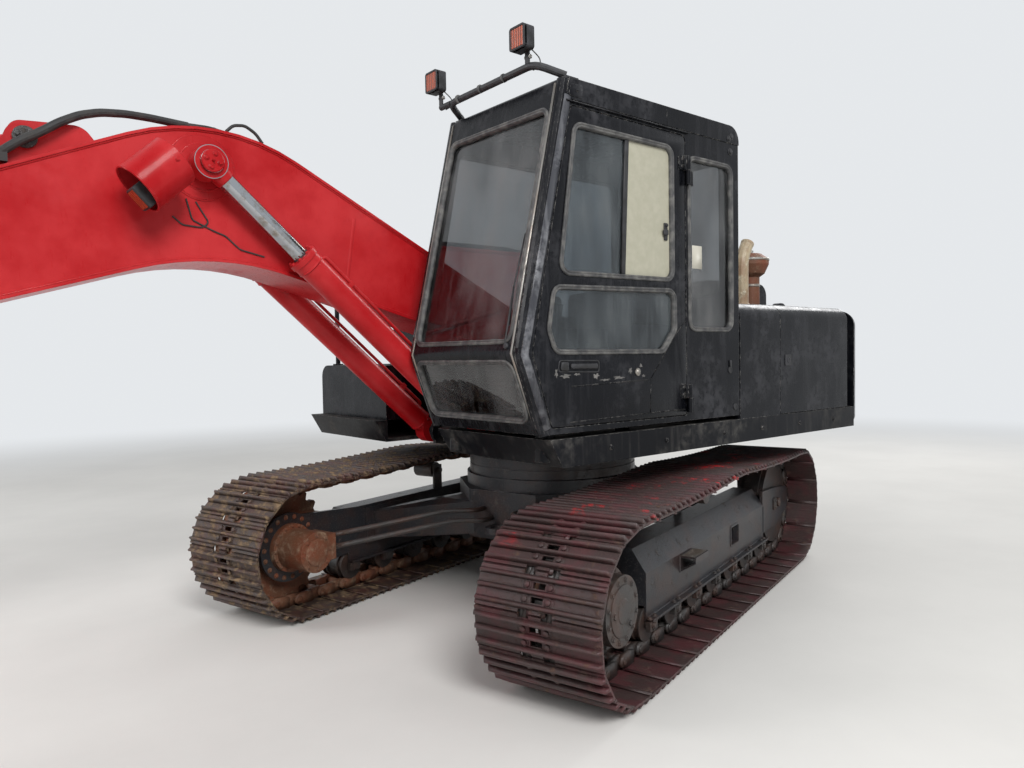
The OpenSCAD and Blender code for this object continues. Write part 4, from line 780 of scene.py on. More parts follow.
# Tracks
def chain_joints():
    """The joints of the track's chain round sprocket, carrier roller and idler, in the track's own plane"""
    ground, carrier, sag, steps = 0.035, (0.100, TUMBLER_Z + TUMBLER_R + 0.038), 0.015, 24
    line = [(IDLER_X, ground)]
    turns = [math.radians(180 * i / steps) for i in range(steps + 1)]
    line += [plus((SPROCKET_X, TUMBLER_Z), polar(TUMBLER_R, turn - math.pi / 2)) for turn in turns]
    top = [(SPROCKET_X, TUMBLER_Z + TUMBLER_R), carrier, (IDLER_X, TUMBLER_Z + TUMBLER_R)]
    for a, b in zip(top, top[1:]):
        line += [plus(mix(a, b, i / 12), (0, -4 * sag * (i / 12) * (1 - i / 12))) for i in range(1, 13)]
    line += [plus((IDLER_X, TUMBLER_Z), polar(TUMBLER_R, turn + math.pi / 2)) for turn in turns[1:-1]]
    lengths = [math.dist(line[i], line[(i + 1) % len(line)]) for i in range(len(line))]
    count = round(sum(lengths) / LINK_PITCH)
    step = sum(lengths) / count
    joints, i, run = [], 0, 0.0
    for k in range(count):
        while i < len(lengths) - 1 and k * step > run + lengths[i]:
            run += lengths[i]
            i += 1
        joints.append(mix(line[i], line[(i + 1) % len(line)], (k * step - run) / lengths[i]))
    return joints


def holed_plate(xs, ys, low, high, holes):
    """A plate cut on a grid, without the cells in holes"""
    cells = {(i, j) for i in range(len(xs) - 1) for j in range(len(ys) - 1)} - holes
    parts = []
    for i, j in sorted(cells):
        a, b, c, d = (xs[i], ys[j]), (xs[i + 1], ys[j]), (xs[i + 1], ys[j + 1]), (xs[i], ys[j + 1])
        parts.append(([(*p, high) for p in (a, b, c, d)], [[0, 1, 2, 3]]))
        parts.append(([(*p, low) for p in (a, b, c, d)], [[3, 2, 1, 0]]))
        for (p, q), beside in (
            ((a, b), (i, j - 1)), ((b, c), (i + 1, j)), ((c, d), (i, j + 1)), ((d, a), (i - 1, j))
        ):
            if beside not in cells:
                parts.append(([(*p, low), (*q, low), (*q, high), (*p, high)], [[0, 1, 2, 3]]))
    return joined(parts)


def track_shoe(length, settings):
    """One triple-grouser shoe: plate with mud slots, three tapered bars and four bolts"""
    half, plate, top = settings.shoe_width / 2, settings.plate, settings.plate + settings.grouser
    rows = (0.335 * length, 0.665 * length)
    xs = [
        0.003, 0.018, *[row + off for row in rows for off in (-0.013, 0.013)], length - 0.018,
        length - 0.003
    ]
    ys = [-half, -0.089, -0.031, 0.031, 0.089, half]
    # mud slots: two notches in the front edge, two in the rear edge, and one slot between each row of bolts
    holes = {(0, 1), (0, 3), (6, 1), (6, 3), (2, 2), (4, 2)}
    parts = [holed_plate(xs, ys, 0.0, plate, holes)]
    for share in (0.17, 0.5, 0.83):
        x = share * length
        # a bar tapers from 26 to 8 mm, and its last 12 mm at each end drop to a third of its height
        foot = plate - 0.001
        bar = [
            (-0.013, foot), (-0.007, top - 0.006), (-0.004, top), (0.004, top), (0.007, top - 0.006),
            (0.013, foot)
        ]
        corners = []
        for y in (-half, -half + 0.012, half - 0.012, half):
            share_left = 0.35 if abs(y) == half else 1.0
            corners += [(x + u, y, foot + (w - foot) * share_left) for u, w in bar]
        parts.append((corners, hoops(4, len(bar)) + hoop_ends(4, len(bar))))
    parts += [
        bolt((x, y, plate), (0, 0, 1), settings.bolt_radius, 0.012) for x in rows for y in (-0.060, 0.060)
    ]
    # rear lips that lie under the next shoe and close the gap round the wheels
    lip = [
        (length - 0.006, -0.001), (length - 0.006, -0.006), (length + 0.022, -0.010),
        (length + 0.022, -0.004)
    ]
    parts += [
        prism(lip, lambda u, v, h: (u, h, v), *reach)
        for reach in ((-half, -0.098), (-0.048, 0.048), (0.098, half))
    ]
    return joined(parts)


def chain_link(length):
    """Links, pin and bushing of one shoe; each link steps from the inner row to the outer"""
    flat = lambda u, v, h: (u, h, v)
    near = [
        (-0.034, -0.040), (-0.024, -0.064), (-0.002, -0.075), (0.060, -0.075), (0.110, -0.066),
        (0.110, -0.002), (0.028, -0.002), (0.014, -0.010), (-0.014, -0.012), (-0.030, -0.024)
    ]
    far = [
        (length + 0.034, -0.040), (length + 0.030, -0.024), (length + 0.014, -0.012),
        (length - 0.014, -0.010), (length - 0.028, -0.002), (0.080, -0.002), (0.080, -0.066),
        (0.130, -0.075), (length + 0.002, -0.075), (length + 0.024, -0.064)
    ]
    parts = []
    for sign in (-1, 1):
        lows = sorted((sign * 0.052, sign * 0.074)), sorted((sign * 0.072, sign * 0.094))
        parts.append(prism(near, flat, *lows[0]))
        parts.append(prism(far, flat, *lows[1]))
        parts.append(
            lathe((0, sign * 0.094, -0.040), (0, sign, 0), [(0, 0.020), (0.006, 0.019), (0.007, 0.012)], 12)
        )
    parts.append(lathe((0, -0.054, -0.040), (0, 1, 0), [(0, 0.027), (0.108, 0.027)], 14))
    return joined(parts)


class EXCAVATOR_OT_tracks(bpy.types.Operator):
    """Builds both tracks from shoes, links, pins and bolts, in place of the plain loops"""
    bl_idname = "excavator.tracks"
    bl_label = "Tracks"

    def execute(self, context):
        settings = context.scene.excavator_track
        joints = chain_joints()
        for side, finish, link_finish in ((1, "track", "cast"), (-1, "track_far", "rust")):
            shoes, links = [], []
            for k, joint in enumerate(joints):
                ahead = joints[(k + 1) % len(joints)]
                length = math.dist(joint, ahead)
                way = ((ahead[0] - joint[0]) / length, (ahead[1] - joint[1]) / length)
                out = (way[1], -way[0])
                place = lambda p: on_tracks((
                    joint[0] + way[0] * p[0] + out[0] * p[2],
                    side * (GAUGE / 2 + p[1]),
                    joint[1] + way[1] * p[0] + out[1] * p[2],
                ))
                shoes.append(moved(track_shoe(length, settings), place))
                links.append(moved(chain_link(length), place))
            name = "left" if side > 0 else "right"
            loop = piece("track_shoes_" + name, shoes, finish, "undercarriage", 30)
            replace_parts(loop, "track_" + name)
            piece("track_links_" + name, links, link_finish, "undercarriage", 30)
        return {"FINISHED"}


def seen(tree):
    """1 for what the camera, gloss and glass see, and 0 for the light that falls on the object"""
    rays = add(tree, "LightPath").node.outputs
    indirect = {0: rays["Is Glossy Ray"], 1: rays["Is Transmission Ray"]}
    indirect = add(tree, "Math", indirect, operation="MAXIMUM")
    return add(tree, "Math", {0: rays["Is Camera Ray"], 1: indirect}, operation="MAXIMUM")


class EXCAVATOR_OT_stage(bpy.types.Operator):
    """Sets the plain pale floor, the soft lamps and the camera"""
    bl_idname = "excavator.stage"
    bl_label = "Stage"

    def execute(self, context):
        scene = context.scene
        settings = scene.excavator_stage
        scene.view_settings.view_transform = "Standard"
        # floor: pale, matt screed with a faint cloudiness, 6% darker in its clouds
        floor, tree, shader, place = started("Pale studio floor")
        cloud = patches(tree, place, 1.5, 0.3, 0.7)
        cloudy = {
            0: cloud, 6: colour4(settings.floor), 7: colour4([part * 0.94 for part in settings.floor])
        }
        cloudy = add(tree, "Mix", cloudy, 2, data_type="RGBA")
        # it runs into the backdrop between 7 and 16 metres out
        reach = add(tree, "VectorMath", {0: place}, "Value", operation="LENGTH")
        far = add(tree, "MapRange", {0: reach, 1: 7.0, 2: 16.0}, interpolation_type="SMOOTHSTEP")
        glow = add(tree, "Math", {0: seen(tree), 1: far}, operation="MULTIPLY")
        connect(tree, shader, {
            "Base Color": add(tree, "Mix", {0: far, 6: cloudy, 7: colour4("#000000")}, 2, data_type="RGBA"),
            "Roughness": 0.9, "Specular IOR Level": 0.0, "Emission Color": BACKDROP,
            "Emission Strength": add(tree, "Math", {0: glow, 1: BACKDROP_LEVEL}, operation="MULTIPLY"),
        })
        mesh = bpy.data.meshes.new("floor")
        half = 60.0
        mesh.from_pydata([(u, v, 0) for u, v in rect(-half, -half, half, half)], [], [(0, 1, 2, 3)])
        mesh.materials.append(floor)
        ground = bpy.data.objects.new("floor", mesh)
        ground.location.z = -0.001
        scene.collection.objects.link(ground)
        # white behind the object for the eye, glass and gloss, and a plain level of light on it
        world = bpy.data.worlds.new("Studio")
        world.use_nodes = True
        scene.world = world
        tree = world.node_tree
        level = add(tree, "MapRange", {0: seen(tree), 3: settings.fill, 4: BACKDROP_LEVEL})
        connect(tree, tree.nodes["Background"], {"Color": BACKDROP, "Strength": level})
        # one soft key lamp and two weaker ones, all discs of 5 metres: name, place, aim and power
        weak = settings.key_power * 0.45
        lamps = (
            ("key", (4.5, 9.5, 8.5), (0.5, 0.6, 1.4), settings.key_power),
            ("rim", (-10.0, -1.0, 8.0), (0.0, 0.0, 1.5), weak),
            ("front", (11.0, -4.0, 6.0), (2.0, 0.0, 1.2), weak),
        )
        for name, at, aim, power in lamps:
            lamp = bpy.data.lights.new(name, "AREA")
            lamp.energy, lamp.shape, lamp.size = power, "DISK", 5.0
            stand = bpy.data.objects.new(name, lamp)
            stand.location = at
            stand.rotation_euler = (Vector(aim) - Vector(at)).to_track_quat("-Z", "Y").to_euler()
            # lamps light the object but don't show through its glass
            stand.visible_camera = stand.visible_transmission = False
            scene.collection.objects.link(stand)
        yaw, pitch, roll = (math.radians(angle) for angle in CAMERA_TURNS)
        ahead = Vector((math.cos(yaw) * math.cos(pitch), math.sin(yaw) * math.cos(pitch), math.sin(pitch)))
        level = Vector((math.sin(yaw), -math.cos(yaw), 0))
        up = level.cross(ahead)
        right = level * math.cos(roll) + up * math.sin(roll)
        top = up * math.cos(roll) - level * math.sin(roll)
        lens = bpy.data.cameras.new("camera")
        lens.sensor_width = 36.0
        lens.lens = lens.sensor_width * CAMERA_REACH
        lens.clip_start, lens.clip_end = 0.05, 300.0
        camera = bpy.data.objects.new("camera", lens)
        turns = Matrix((right, top, -ahead)).transposed().to_4x4()
        camera.matrix_world = Matrix.Translation(CAMERA_AT) @ turns
        scene.collection.objects.link(camera)
        scene.camera = camera
        return {"FINISHED"}


# Cab
SIDE = on_side(UPPER_HALF)
RIGHT = lambda u, v, h: Vector((u, CAB_Y - h, v))
SCREEN = on_screen(KNEE, math.atan2(KNEE[0] - ROOF[0], ROOF[1] - KNEE[1]))
TOE = on_screen((CAB_TOE, CAB_FLOOR), math.atan2(CAB_TOE - KNEE[0], KNEE[1] - CAB_FLOOR))
# The door and its two windows, as the photograph places them
DOOR = [(0.170, 1.257), (1.213, 1.257), (1.332, 1.621), (1.062, 2.831), (0.170, 2.831)]
UPPER_PANE = [(0.285, 2.018), (1.146, 2.012), (1.034, 2.748), (0.283, 2.748)]
LOWER_PANE = [
    (0.372, 1.620), (1.184, 1.624), (1.226, 1.735), (1.188, 1.940), (0.271, 1.958), (0.268, 1.742)
]
REAR_PANE = rect(-0.274, 1.745, 0.135, 2.720)
RIGHT_PANE = [(-0.259, 1.600), (1.304, 1.600), (1.060, 2.780), (-0.259, 2.780)]
SCREEN_LEN = math.dist(KNEE, ROOF)
TOE_LEN = math.dist((CAB_TOE, CAB_FLOOR), KNEE)
PANE_SIDES = (CAB_Y + 0.072, UPPER_HALF - 0.072)
PANE_ROUND = 0.055
WALL = 0.050


def across(low, high):
    """The outline of a windscreen pane between two heights along it"""
    return rect(PANE_SIDES[0], low, PANE_SIDES[1], high)


def seal(outline, plane, settings, proud=1.0):
    """A window's rubber seal: a rounded lip over the panel, a locking strip and a lip on the glass"""
    w, h = settings.seal_width / 2, settings.seal_height * proud
    profile = [
        (w, -0.001), (w, h * 0.4), (w * 0.7, h), (w * 0.2, h), (w * 0.1, h * 0.6), (-w * 0.15, h * 0.6),
        (-w * 0.25, h * 0.9), (-w * 0.7, h * 0.7), (-w, -0.008), (-w, -0.021),
    ]
    return band(filleted(outline, PANE_ROUND), plane, profile)


def pierced(outline, holes, plane, low, high):
    """A plate with holes between two heights over a plane"""
    loops = [outline, *holes]
    flat = [p for loop in loops for p in loop]
    fill = tessellate_polygon([[Vector((*p, 0)) for p in loop] for loop in loops])
    n, first = len(flat), 0
    corners = [plane(u, v, h) for h in (low, high) for u, v in flat]
    faces = [[i + k for i in side] for k in (0, n) for side in fill]
    for loop in loops:
        m = len(loop)
        faces += [
            [first + i, first + (i + 1) % m, n + first + (i + 1) % m, n + first + i] for i in range(m)
        ]
        first += m
    return corners, faces


def flake(x, z, wide, tall, turn):
    """A ragged chip in the paint, where the primer shows"""
    outline = []
    for k in range(14):
        r = 0.62 + 0.25 * math.sin(2.3 * k + turn) + 0.13 * math.sin(5.1 * k + 2 * turn)
        angle = math.tau * k / 14
        outline.append((x + 1.2 * wide * r * math.cos(angle), z + 1.5 * tall * r * math.sin(angle)))
    return prism(outline, SIDE, -0.0005, 0.0007)


def pressed_line(points, plane, width=0.007, height=0.0015):
    """A raised line pressed into sheet metal"""
    return band(points, plane, half_round(width, height, 0.001, 4), closed=False)


class EXCAVATOR_OT_cab_door(bpy.types.Operator):
    """Makes the cab's door with its two windows, sliding pane, seals, hinges, handle and lock"""
    bl_idname = "excavator.cab_door"
    bl_label = "Cab door"

    def execute(self, context):
        settings = context.scene.excavator_cab
        outline = filleted(DOOR, [0.020, 0.020, 0.060, 0.035, 0.035])
        holes = [filleted(pane, PANE_ROUND) for pane in (UPPER_PANE, LOWER_PANE)]
        # two pressings: the outer skin and the frame behind it, with a narrow step between them
        skin = pierced(outline, holes, SIDE, -0.030, 0.0)
        frame_holes = [filleted(inset(pane, -0.006), PANE_ROUND) for pane in (UPPER_PANE, LOWER_PANE)]
        inner = pierced(inset(outline, 0.008), frame_holes, SIDE, -WALL, -0.030)
        # each hinge: a leaf on the door, an arm and a knuckle, with two screws in the leaf
        hinges = []
        knuckle = [(0, 0.012), (0.002, 0.014), (0.078, 0.014), (0.080, 0.012)]
        for z in (1.352, 2.638):
            hinges += [
                box_part(
                    (DOOR_X + 0.008, UPPER_HALF - 0.003, z),
                    (DOOR_X + 0.060, UPPER_HALF + 0.008, z + 0.080), 0.002),
                box_part(
                    (DOOR_X + 0.002, UPPER_HALF + 0.003, z),
                    (DOOR_X + 0.030, UPPER_HALF + 0.022, z + 0.080), 0.003),
                lathe((DOOR_X, UPPER_HALF + 0.022, z), (0, 0, 1), knuckle),
            ]
            hinges += [
                bolt((DOOR_X + 0.042, UPPER_HALF + 0.008, z + up), (0, 1, 0), 0.007, 0.005, False)
                for up in (0.020, 0.060)
            ]
        door = piece(
            "cab_door_pressing", [skin, inner, *hinges], "black", "cab_door", 30, 0.002
        )
        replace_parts(door, "cab_door")
        # the skin's swage line steps in under the lower window and drops to the sill
        swage = [(0.176, 1.790), (0.262, 1.716), (0.476, 1.476), (0.486, 1.286)]
        lines = [
            pressed_line([(0.486, 1.286), (1.090, 1.274)], SIDE), pressed_line(swage[2:], SIDE),
            pressed_line(swage[:3], SIDE), pressed_line([(0.494, 1.468), (1.080, 1.452)], SIDE),
            pressed_line([(0.180, 1.288), (0.486, 1.286)], SIDE),
        ]
        piece("cab_door_swages", lines, "black_low", "cab_door")
        panes = [
            prism(inset(filleted(pane, PANE_ROUND), 0.0005), SIDE, -0.024, -0.016)
            for pane in (UPPER_PANE, LOWER_PANE)
        ]
        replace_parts(piece("cab_door_panes", panes, "glass", "cab_door", 0), "door_glass")
        # sliding pane: the rear half, filmed over, with its divider and its catch
        top = UPPER_PANE[3][1]
        film = [(0.290, 2.024), (0.668, 2.022), (0.632, top), (0.290, top)]
        film = prism(filleted(film, [0.040, 0.002, 0.002, 0.040]), SIDE, -0.0155, -0.0125)
        piece("cab_sliding_pane", film, "milky", "cab_door", 0)
        bar = [(0.668, 2.020), (0.700, 2.020), (0.660, 2.750), (0.628, 2.750)]
        run = [(0.700, 2.021), (1.140, 2.019), (1.139, 2.027), (0.700, 2.029)]
        parts = [dished(bar, SIDE, -0.016, -0.004, 0.003), prism(run, SIDE, -0.016, -0.008)]
        piece("cab_sliding_frame", parts, "plastic", "cab_door")
        catch = [
            box_part((0.318, UPPER_HALF - 0.013, 2.235), (0.346, UPPER_HALF - 0.004, 2.330), 0.003),
            box_part((0.322, UPPER_HALF - 0.006, 2.262), (0.362, UPPER_HALF + 0.007, 2.292), 0.005),
            lathe(
                (0.332, UPPER_HALF - 0.005, 2.316), (0, 1, 0), [(0, 0.010), (0.009, 0.009), (0.010, 0.006)],
                12
            ),
        ]
        piece("cab_pane_catch", catch, "plastic", "cab_door")
        seals = [seal(pane, SIDE, settings) for pane in (UPPER_PANE, LOWER_PANE)]
        piece("cab_door_seals", seals, "rubber", "cab_door", 60)
        # handle: a paddle in a shallow tray, and beside it the lock's key plate
        tray = filleted([(0.885, 1.520), (1.170, 1.528), (1.160, 1.582), (0.885, 1.578)], 0.014)
        paddle = filleted([(0.900, 1.536), (1.090, 1.540), (1.090, 1.566), (0.900, 1.564)], 0.010)
        key_plate = filleted([(1.100, 1.530), (1.158, 1.533), (1.150, 1.576), (1.100, 1.574)], 0.012)
        parts = [
            band(tray, SIDE, [(0.004, -0.001), (0.003, 0.003), (-0.003, 0.003), (-0.004, -0.001)]),
            dished(paddle, SIDE, -0.001, 0.014, 0.004),
            dished(key_plate, SIDE, -0.001, 0.009, 0.003),
        ]
        piece("cab_door_handle", parts, "plastic", "cab_door", 30)
        # chips in the paint round the handle
        chips = [flake(*chip) for chip in (
            (1.120, 1.505, 0.042, 0.010, 0.4), (1.040, 1.512, 0.024, 0.006, 1.7),
            (1.182, 1.520, 0.012, 0.020, 2.9), (0.905, 1.500, 0.026, 0.013, 4.1),
            (0.838, 1.478, 0.040, 0.005, 0.9), (0.735, 1.486, 0.046, 0.008, 5.2),
            (0.645, 1.520, 0.018, 0.014, 3.3), (0.560, 1.545, 0.012, 0.010, 2.2),
            (0.540, 1.490, 0.016, 0.006, 0.1),
        )]
        piece("cab_door_chips", chips, "primer", "cab_door", 0)
        # round lock with its key slot's bar
        barrel = [(-0.001, 0.021), (0.004, 0.021), (0.006, 0.018), (0.006, 0.012), (0.010, 0.011)]
        lock = [
            lathe((0.587, UPPER_HALF, 1.512), (0, 1, 0), barrel),
            box_part((0.5835, UPPER_HALF + 0.009, 1.502), (0.5905, UPPER_HALF + 0.012, 1.522), 0.001),
        ]
        piece("cab_door_lock", lock, "bright", "cab_door", 30)
        return {"FINISHED"}


class EXCAVATOR_OT_cab_trim(bpy.types.Operator):
    """Seals the cab's other windows and adds the pillars' edges, roof seams, bolts and latches"""
    bl_idname = "excavator.cab_trim"
    bl_label = "Cab trim"

    def execute(self, context):
        settings = context.scene.excavator_cab
        rear = rect(CAB_Y + 0.110, 1.960, UPPER_HALF - 0.110, 2.780)
        seals = [
            seal(REAR_PANE, SIDE, settings), seal(RIGHT_PANE, RIGHT, settings, 0.3),
            seal(across(0.060, SCREEN_LEN - 0.150), SCREEN, settings),
            seal(across(0.070, TOE_LEN - 0.045), TOE, settings),
            seal(rear, on_back(CAB_REAR), settings),
        ]
        piece("cab_seals", seals, "rubber", "upperstructure", 60)
        # folded edge between the screen and the round pillar, rubbed bright
        flange = [(-0.003, -0.006), (0.004, -0.006), (0.006, 0.0), (0.004, 0.006), (-0.003, 0.006)]
        rise = [(CAB_TOE, CAB_FLOOR + 0.020), KNEE, plus(ROOF, (0.006, -0.025))]
        edges_made = [
            band(rise, lambda u, v, h, y=y: Vector((u, y + h, v)), flange, closed=False)
            for y in (PANE_SIDES[1] + 0.021, PANE_SIDES[0] - 0.021)
        ]
        piece("cab_pillar_edges", edges_made, "bright", "upperstructure")
        # round tube pillar between the screen and the door, in the pale finish that paints its sheen
        spine = [
            (CAB_TOE - 0.033, CAB_FLOOR + 0.030), (KNEE[0] - 0.040, KNEE[1] - 0.006),
            (ROOF[0] - 0.028, ROOF[1] - 0.090)
        ]
        pillar = band(spine, SIDE, half_round(0.046, 0.008, 0.001, 10), closed=False)
        piece("cab_pillar", pillar, "pillar", "upperstructure", 70)
        # roof: drip rail over the door, one butt seam, and the corner's cover plate
        top = ROOF[1]
        rail = [(1.096, 2.852), (0.140, 2.852)]
        drip = [(-0.004, -0.001), (-0.004, 0.014), (0.001, 0.015), (0.005, 0.006), (0.005, -0.001)]
        butt = half_round(0.006, 0.0075, 0.002, 4)
        cover = filleted([(0.985, 2.875), (1.080, 2.875), (1.066, 2.935), (0.985, 2.945)], 0.012)
        parts = [
            band(rail, SIDE, drip, closed=False),
            band([(0.328, 2.868), (0.330, top - 0.010)], SIDE, butt, closed=False),
            dished(cover, SIDE, 0.0, 0.009, 0.001),
        ]
        parts.append(bolt((1.020, UPPER_HALF + 0.009, 2.910), (0, 1, 0), 0.008, 0.006, False))
        piece("cab_roof_trim", parts, "black", "upperstructure")
        # screws and plugs at the rear corner, and the catch of the panel under the side window
        parts = [
            bolt((x, UPPER_HALF + 0.006, z), (0, 1, 0), 0.014, 0.008, True)
            for x, z in ((-0.246, 2.884), (-0.272, 2.900))
        ]
        parts.append(bolt((-0.268, UPPER_HALF, 2.812), (0, 1, 0), 0.016, 0.010, True))
        plug = [(-0.001, 0.020), (0.004, 0.020), (0.006, 0.016), (0.003, 0.012), (0.003, 0.0)]
        for x, z in ((-0.254, 1.501), (-0.304, 1.276)):
            parts.append(lathe((x, UPPER_HALF, z), (0, 1, 0), plug))
        parts.append(
            box_part((-0.263, UPPER_HALF + 0.001, 1.520), (-0.245, UPPER_HALF + 0.009, 1.560), 0.003)
        )
        piece("cab_side_fasteners", parts, "plastic", "upperstructure", 30)
        # blank paper label inside the side window
        label = filleted(rect(-0.004, 2.095, 0.088, 2.228), 0.003)
        piece("cab_blank_label", prism(label, SIDE, -0.0158, -0.0152), "label", "upperstructure")
        # wiper on the screen's left, its arm held against the frame
        foot = SCREEN(PANE_SIDES[1] - 0.020, 0.035, 0.004)
        tip = SCREEN(PANE_SIDES[1] - 0.030, 0.600, -0.008)
        joint = SCREEN(PANE_SIDES[1] - 0.034, 0.330, 0.006)
        wiper = [
            tube([foot, SCREEN(PANE_SIDES[1] - 0.026, 0.060, 0.010), joint], 0.005, 8),
            lathe(foot, (0.97, 0, 0.22), [(-0.006, 0.016), (0.008, 0.014), (0.010, 0.008)], 14),
            tube([SCREEN(PANE_SIDES[1] - 0.040, 0.140, -0.010), joint, tip], 0.004, 6),
        ]
        piece("cab_wiper", wiper, "plastic", "upperstructure")
        return {"FINISHED"}


def cushion(name, low, high, corner, lean=0.0):
    """A crowned pad between two corners, swollen by simulated cloth"""
    low, high = Vector(low), Vector(high)
    room = Vector((0.012, 0.012, 0.012))
    shape = box_part(low + room, high - room, corner)
    shape = moved(shape, lambda p: Vector((p.x - (p.z - low.z) * lean, p.y, p.z)))
    made = piece(name, shape, "cloth", "upperstructure", 80)
    made.modifiers.clear()
    swell = made.modifiers.new("Remesh", "REMESH")
    swell.mode, swell.voxel_size, swell.use_smooth_shade = "VOXEL", 0.006, True
    applied(made)
    start = [v.co.copy() for v in made.data.vertices]
    cloth = made.modifiers.new("Cloth", "CLOTH")
    cloth.settings.use_pressure = True
    cloth.settings.uniform_pressure_force = 4.0
    cloth.settings.quality = 4
    cloth.settings.effector_weights.gravity = 0.0
    cloth.point_cache.frame_end = 20
    for step in range(1, 21):
        bpy.context.scene.frame_set(step)
    applied(made)
    limit = 0.011
    for vertex, before in zip(made.data.vertices, start):
        move = vertex.co - before
        if move.length > limit:
            vertex.co = before + move * (limit / move.length)
    bpy.context.scene.frame_set(1)
    return made


def applied(thing):
    """Bakes a piece's modifiers into its mesh"""
    graph = bpy.context.evaluated_depsgraph_get()
    mesh = bpy.data.meshes.new_from_object(thing.evaluated_get(graph))
    old = thing.data
    thing.modifiers.clear()
    thing.data = mesh
    bpy.data.meshes.remove(old)


class EXCAVATOR_OT_seat(bpy.types.Operator):
    """Makes the driver's seat: cushions of cloth and the suspension under its folded boot"""
    bl_idname = "excavator.seat"
    bl_label = "Driver's seat"

    def execute(self, context):
        x, y, z = 0.180, (CAB_Y + UPPER_HALF) / 2, CAB_FLOOR + 0.030
        base = [
            box_part((x - 0.320, y - 0.200, z), (x + 0.200, y + 0.200, z + 0.050), 0.006),
            box_part((x - 0.300, y - 0.180, z + 0.190), (x + 0.190, y + 0.180, z + 0.240), 0.008),
        ]
        # suspension under its folded boot
        folds = 7
        for k in range(folds):
            up = z + 0.050 + 0.140 * k / folds
            wide = 0.170 if k % 2 else 0.150
            base.append(box_part((x - 0.280, y - wide, up), (x + 0.165, y + wide, up + 0.021), 0.008))
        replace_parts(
            piece("seat_suspension", base, "plastic", "upperstructure", 30), "cab_seat"
        )
        cushion("seat_cushion", (x - 0.186, y - 0.250, z + 0.241), (x + 0.276, y + 0.250, z + 0.386), 0.050)
        cushion(
            "seat_back", (x - 0.330, y - 0.240, z + 0.250), (x - 0.200, y + 0.240, z + 0.880), 0.050,
            lean=0.14
        )
        cushion(
            "seat_headrest", (x - 0.420, y - 0.150, z + 0.905), (x - 0.330, y + 0.150, z + 1.075), 0.036,
            lean=0.10
        )
        return {"FINISHED"}


class EXCAVATOR_OT_lamps(bpy.types.Operator):
    """Dresses the two roof lamps: housings' rims, amber lenses, brackets' bolts and loose wires"""
    bl_idname = "excavator.lamps"
    bl_label = "Roof lamps"

    def execute(self, context):
        front, half, z = 1.233, 0.058, 3.177
        rims, lenses, bolts, wires = [], [], [], []
        rim = [
            (0.0, -0.010), (0.0, 0.006), (-0.003, 0.008), (-0.010, 0.006), (-0.010, 0.0), (-0.002, -0.010)
        ]
        facing = lambda u, v, h: Vector((front + h, u, v))
        for y in (0.380, 1.140):
            square = filleted(rect(y - half, z - half, y + half, z + half), 0.016)
            rims.append(band(square, facing, rim))
            lenses.append(dished(inset(square, 0.009), facing, -0.001, 0.005, 0.004))
            for sign in (-1, 1):
                bolts.append(bolt((1.165, y + sign * 0.016, z - 0.080), (0, sign, 0), 0.008, 0.008))
            route = [
                (1.168, y + 0.030, z - 0.050), (1.130, y + 0.045, z - 0.090),
                (1.135, y + 0.050, z - 0.130), (1.160, y + 0.030, z - 0.152),
            ]
            wires.append(tube(curve_through(route), 0.003, 6))
        piece("lamp_rims", rims, "plastic", "upperstructure", 40)
        piece("lamp_lenses", lenses, "lens", "upperstructure", 30)
        piece("lamp_bolts", bolts, "bright", "upperstructure", 30)
        piece("lamp_wires", wires, "dark_rubber", "upperstructure")
        # clips that tie the wire to the bar
        clip = [(0, 0.0205), (0.001, 0.0225), (0.009, 0.0225), (0.010, 0.0205)]
        clips = [lathe((1.181, y, 3.041), (0, 1, 0), clip, 14) for y in (0.560, 0.760, 0.960)]
        piece("lamp_bar_ties", clips, "rubber", "upperstructure")
        return {"FINISHED"}


# Undercarriage
def beside(side):
    """From a track's own plane, with its height outward, to the machine"""
    return lambda u, v, h: on_tracks((u, side * (GAUGE / 2 + h), v))


def seam(outline, plane, width=0.014, height=0.006, closed=True):
    """A weld bead along an outline"""
    return band(outline, plane, half_round(width, height, 0.002, 5), closed)


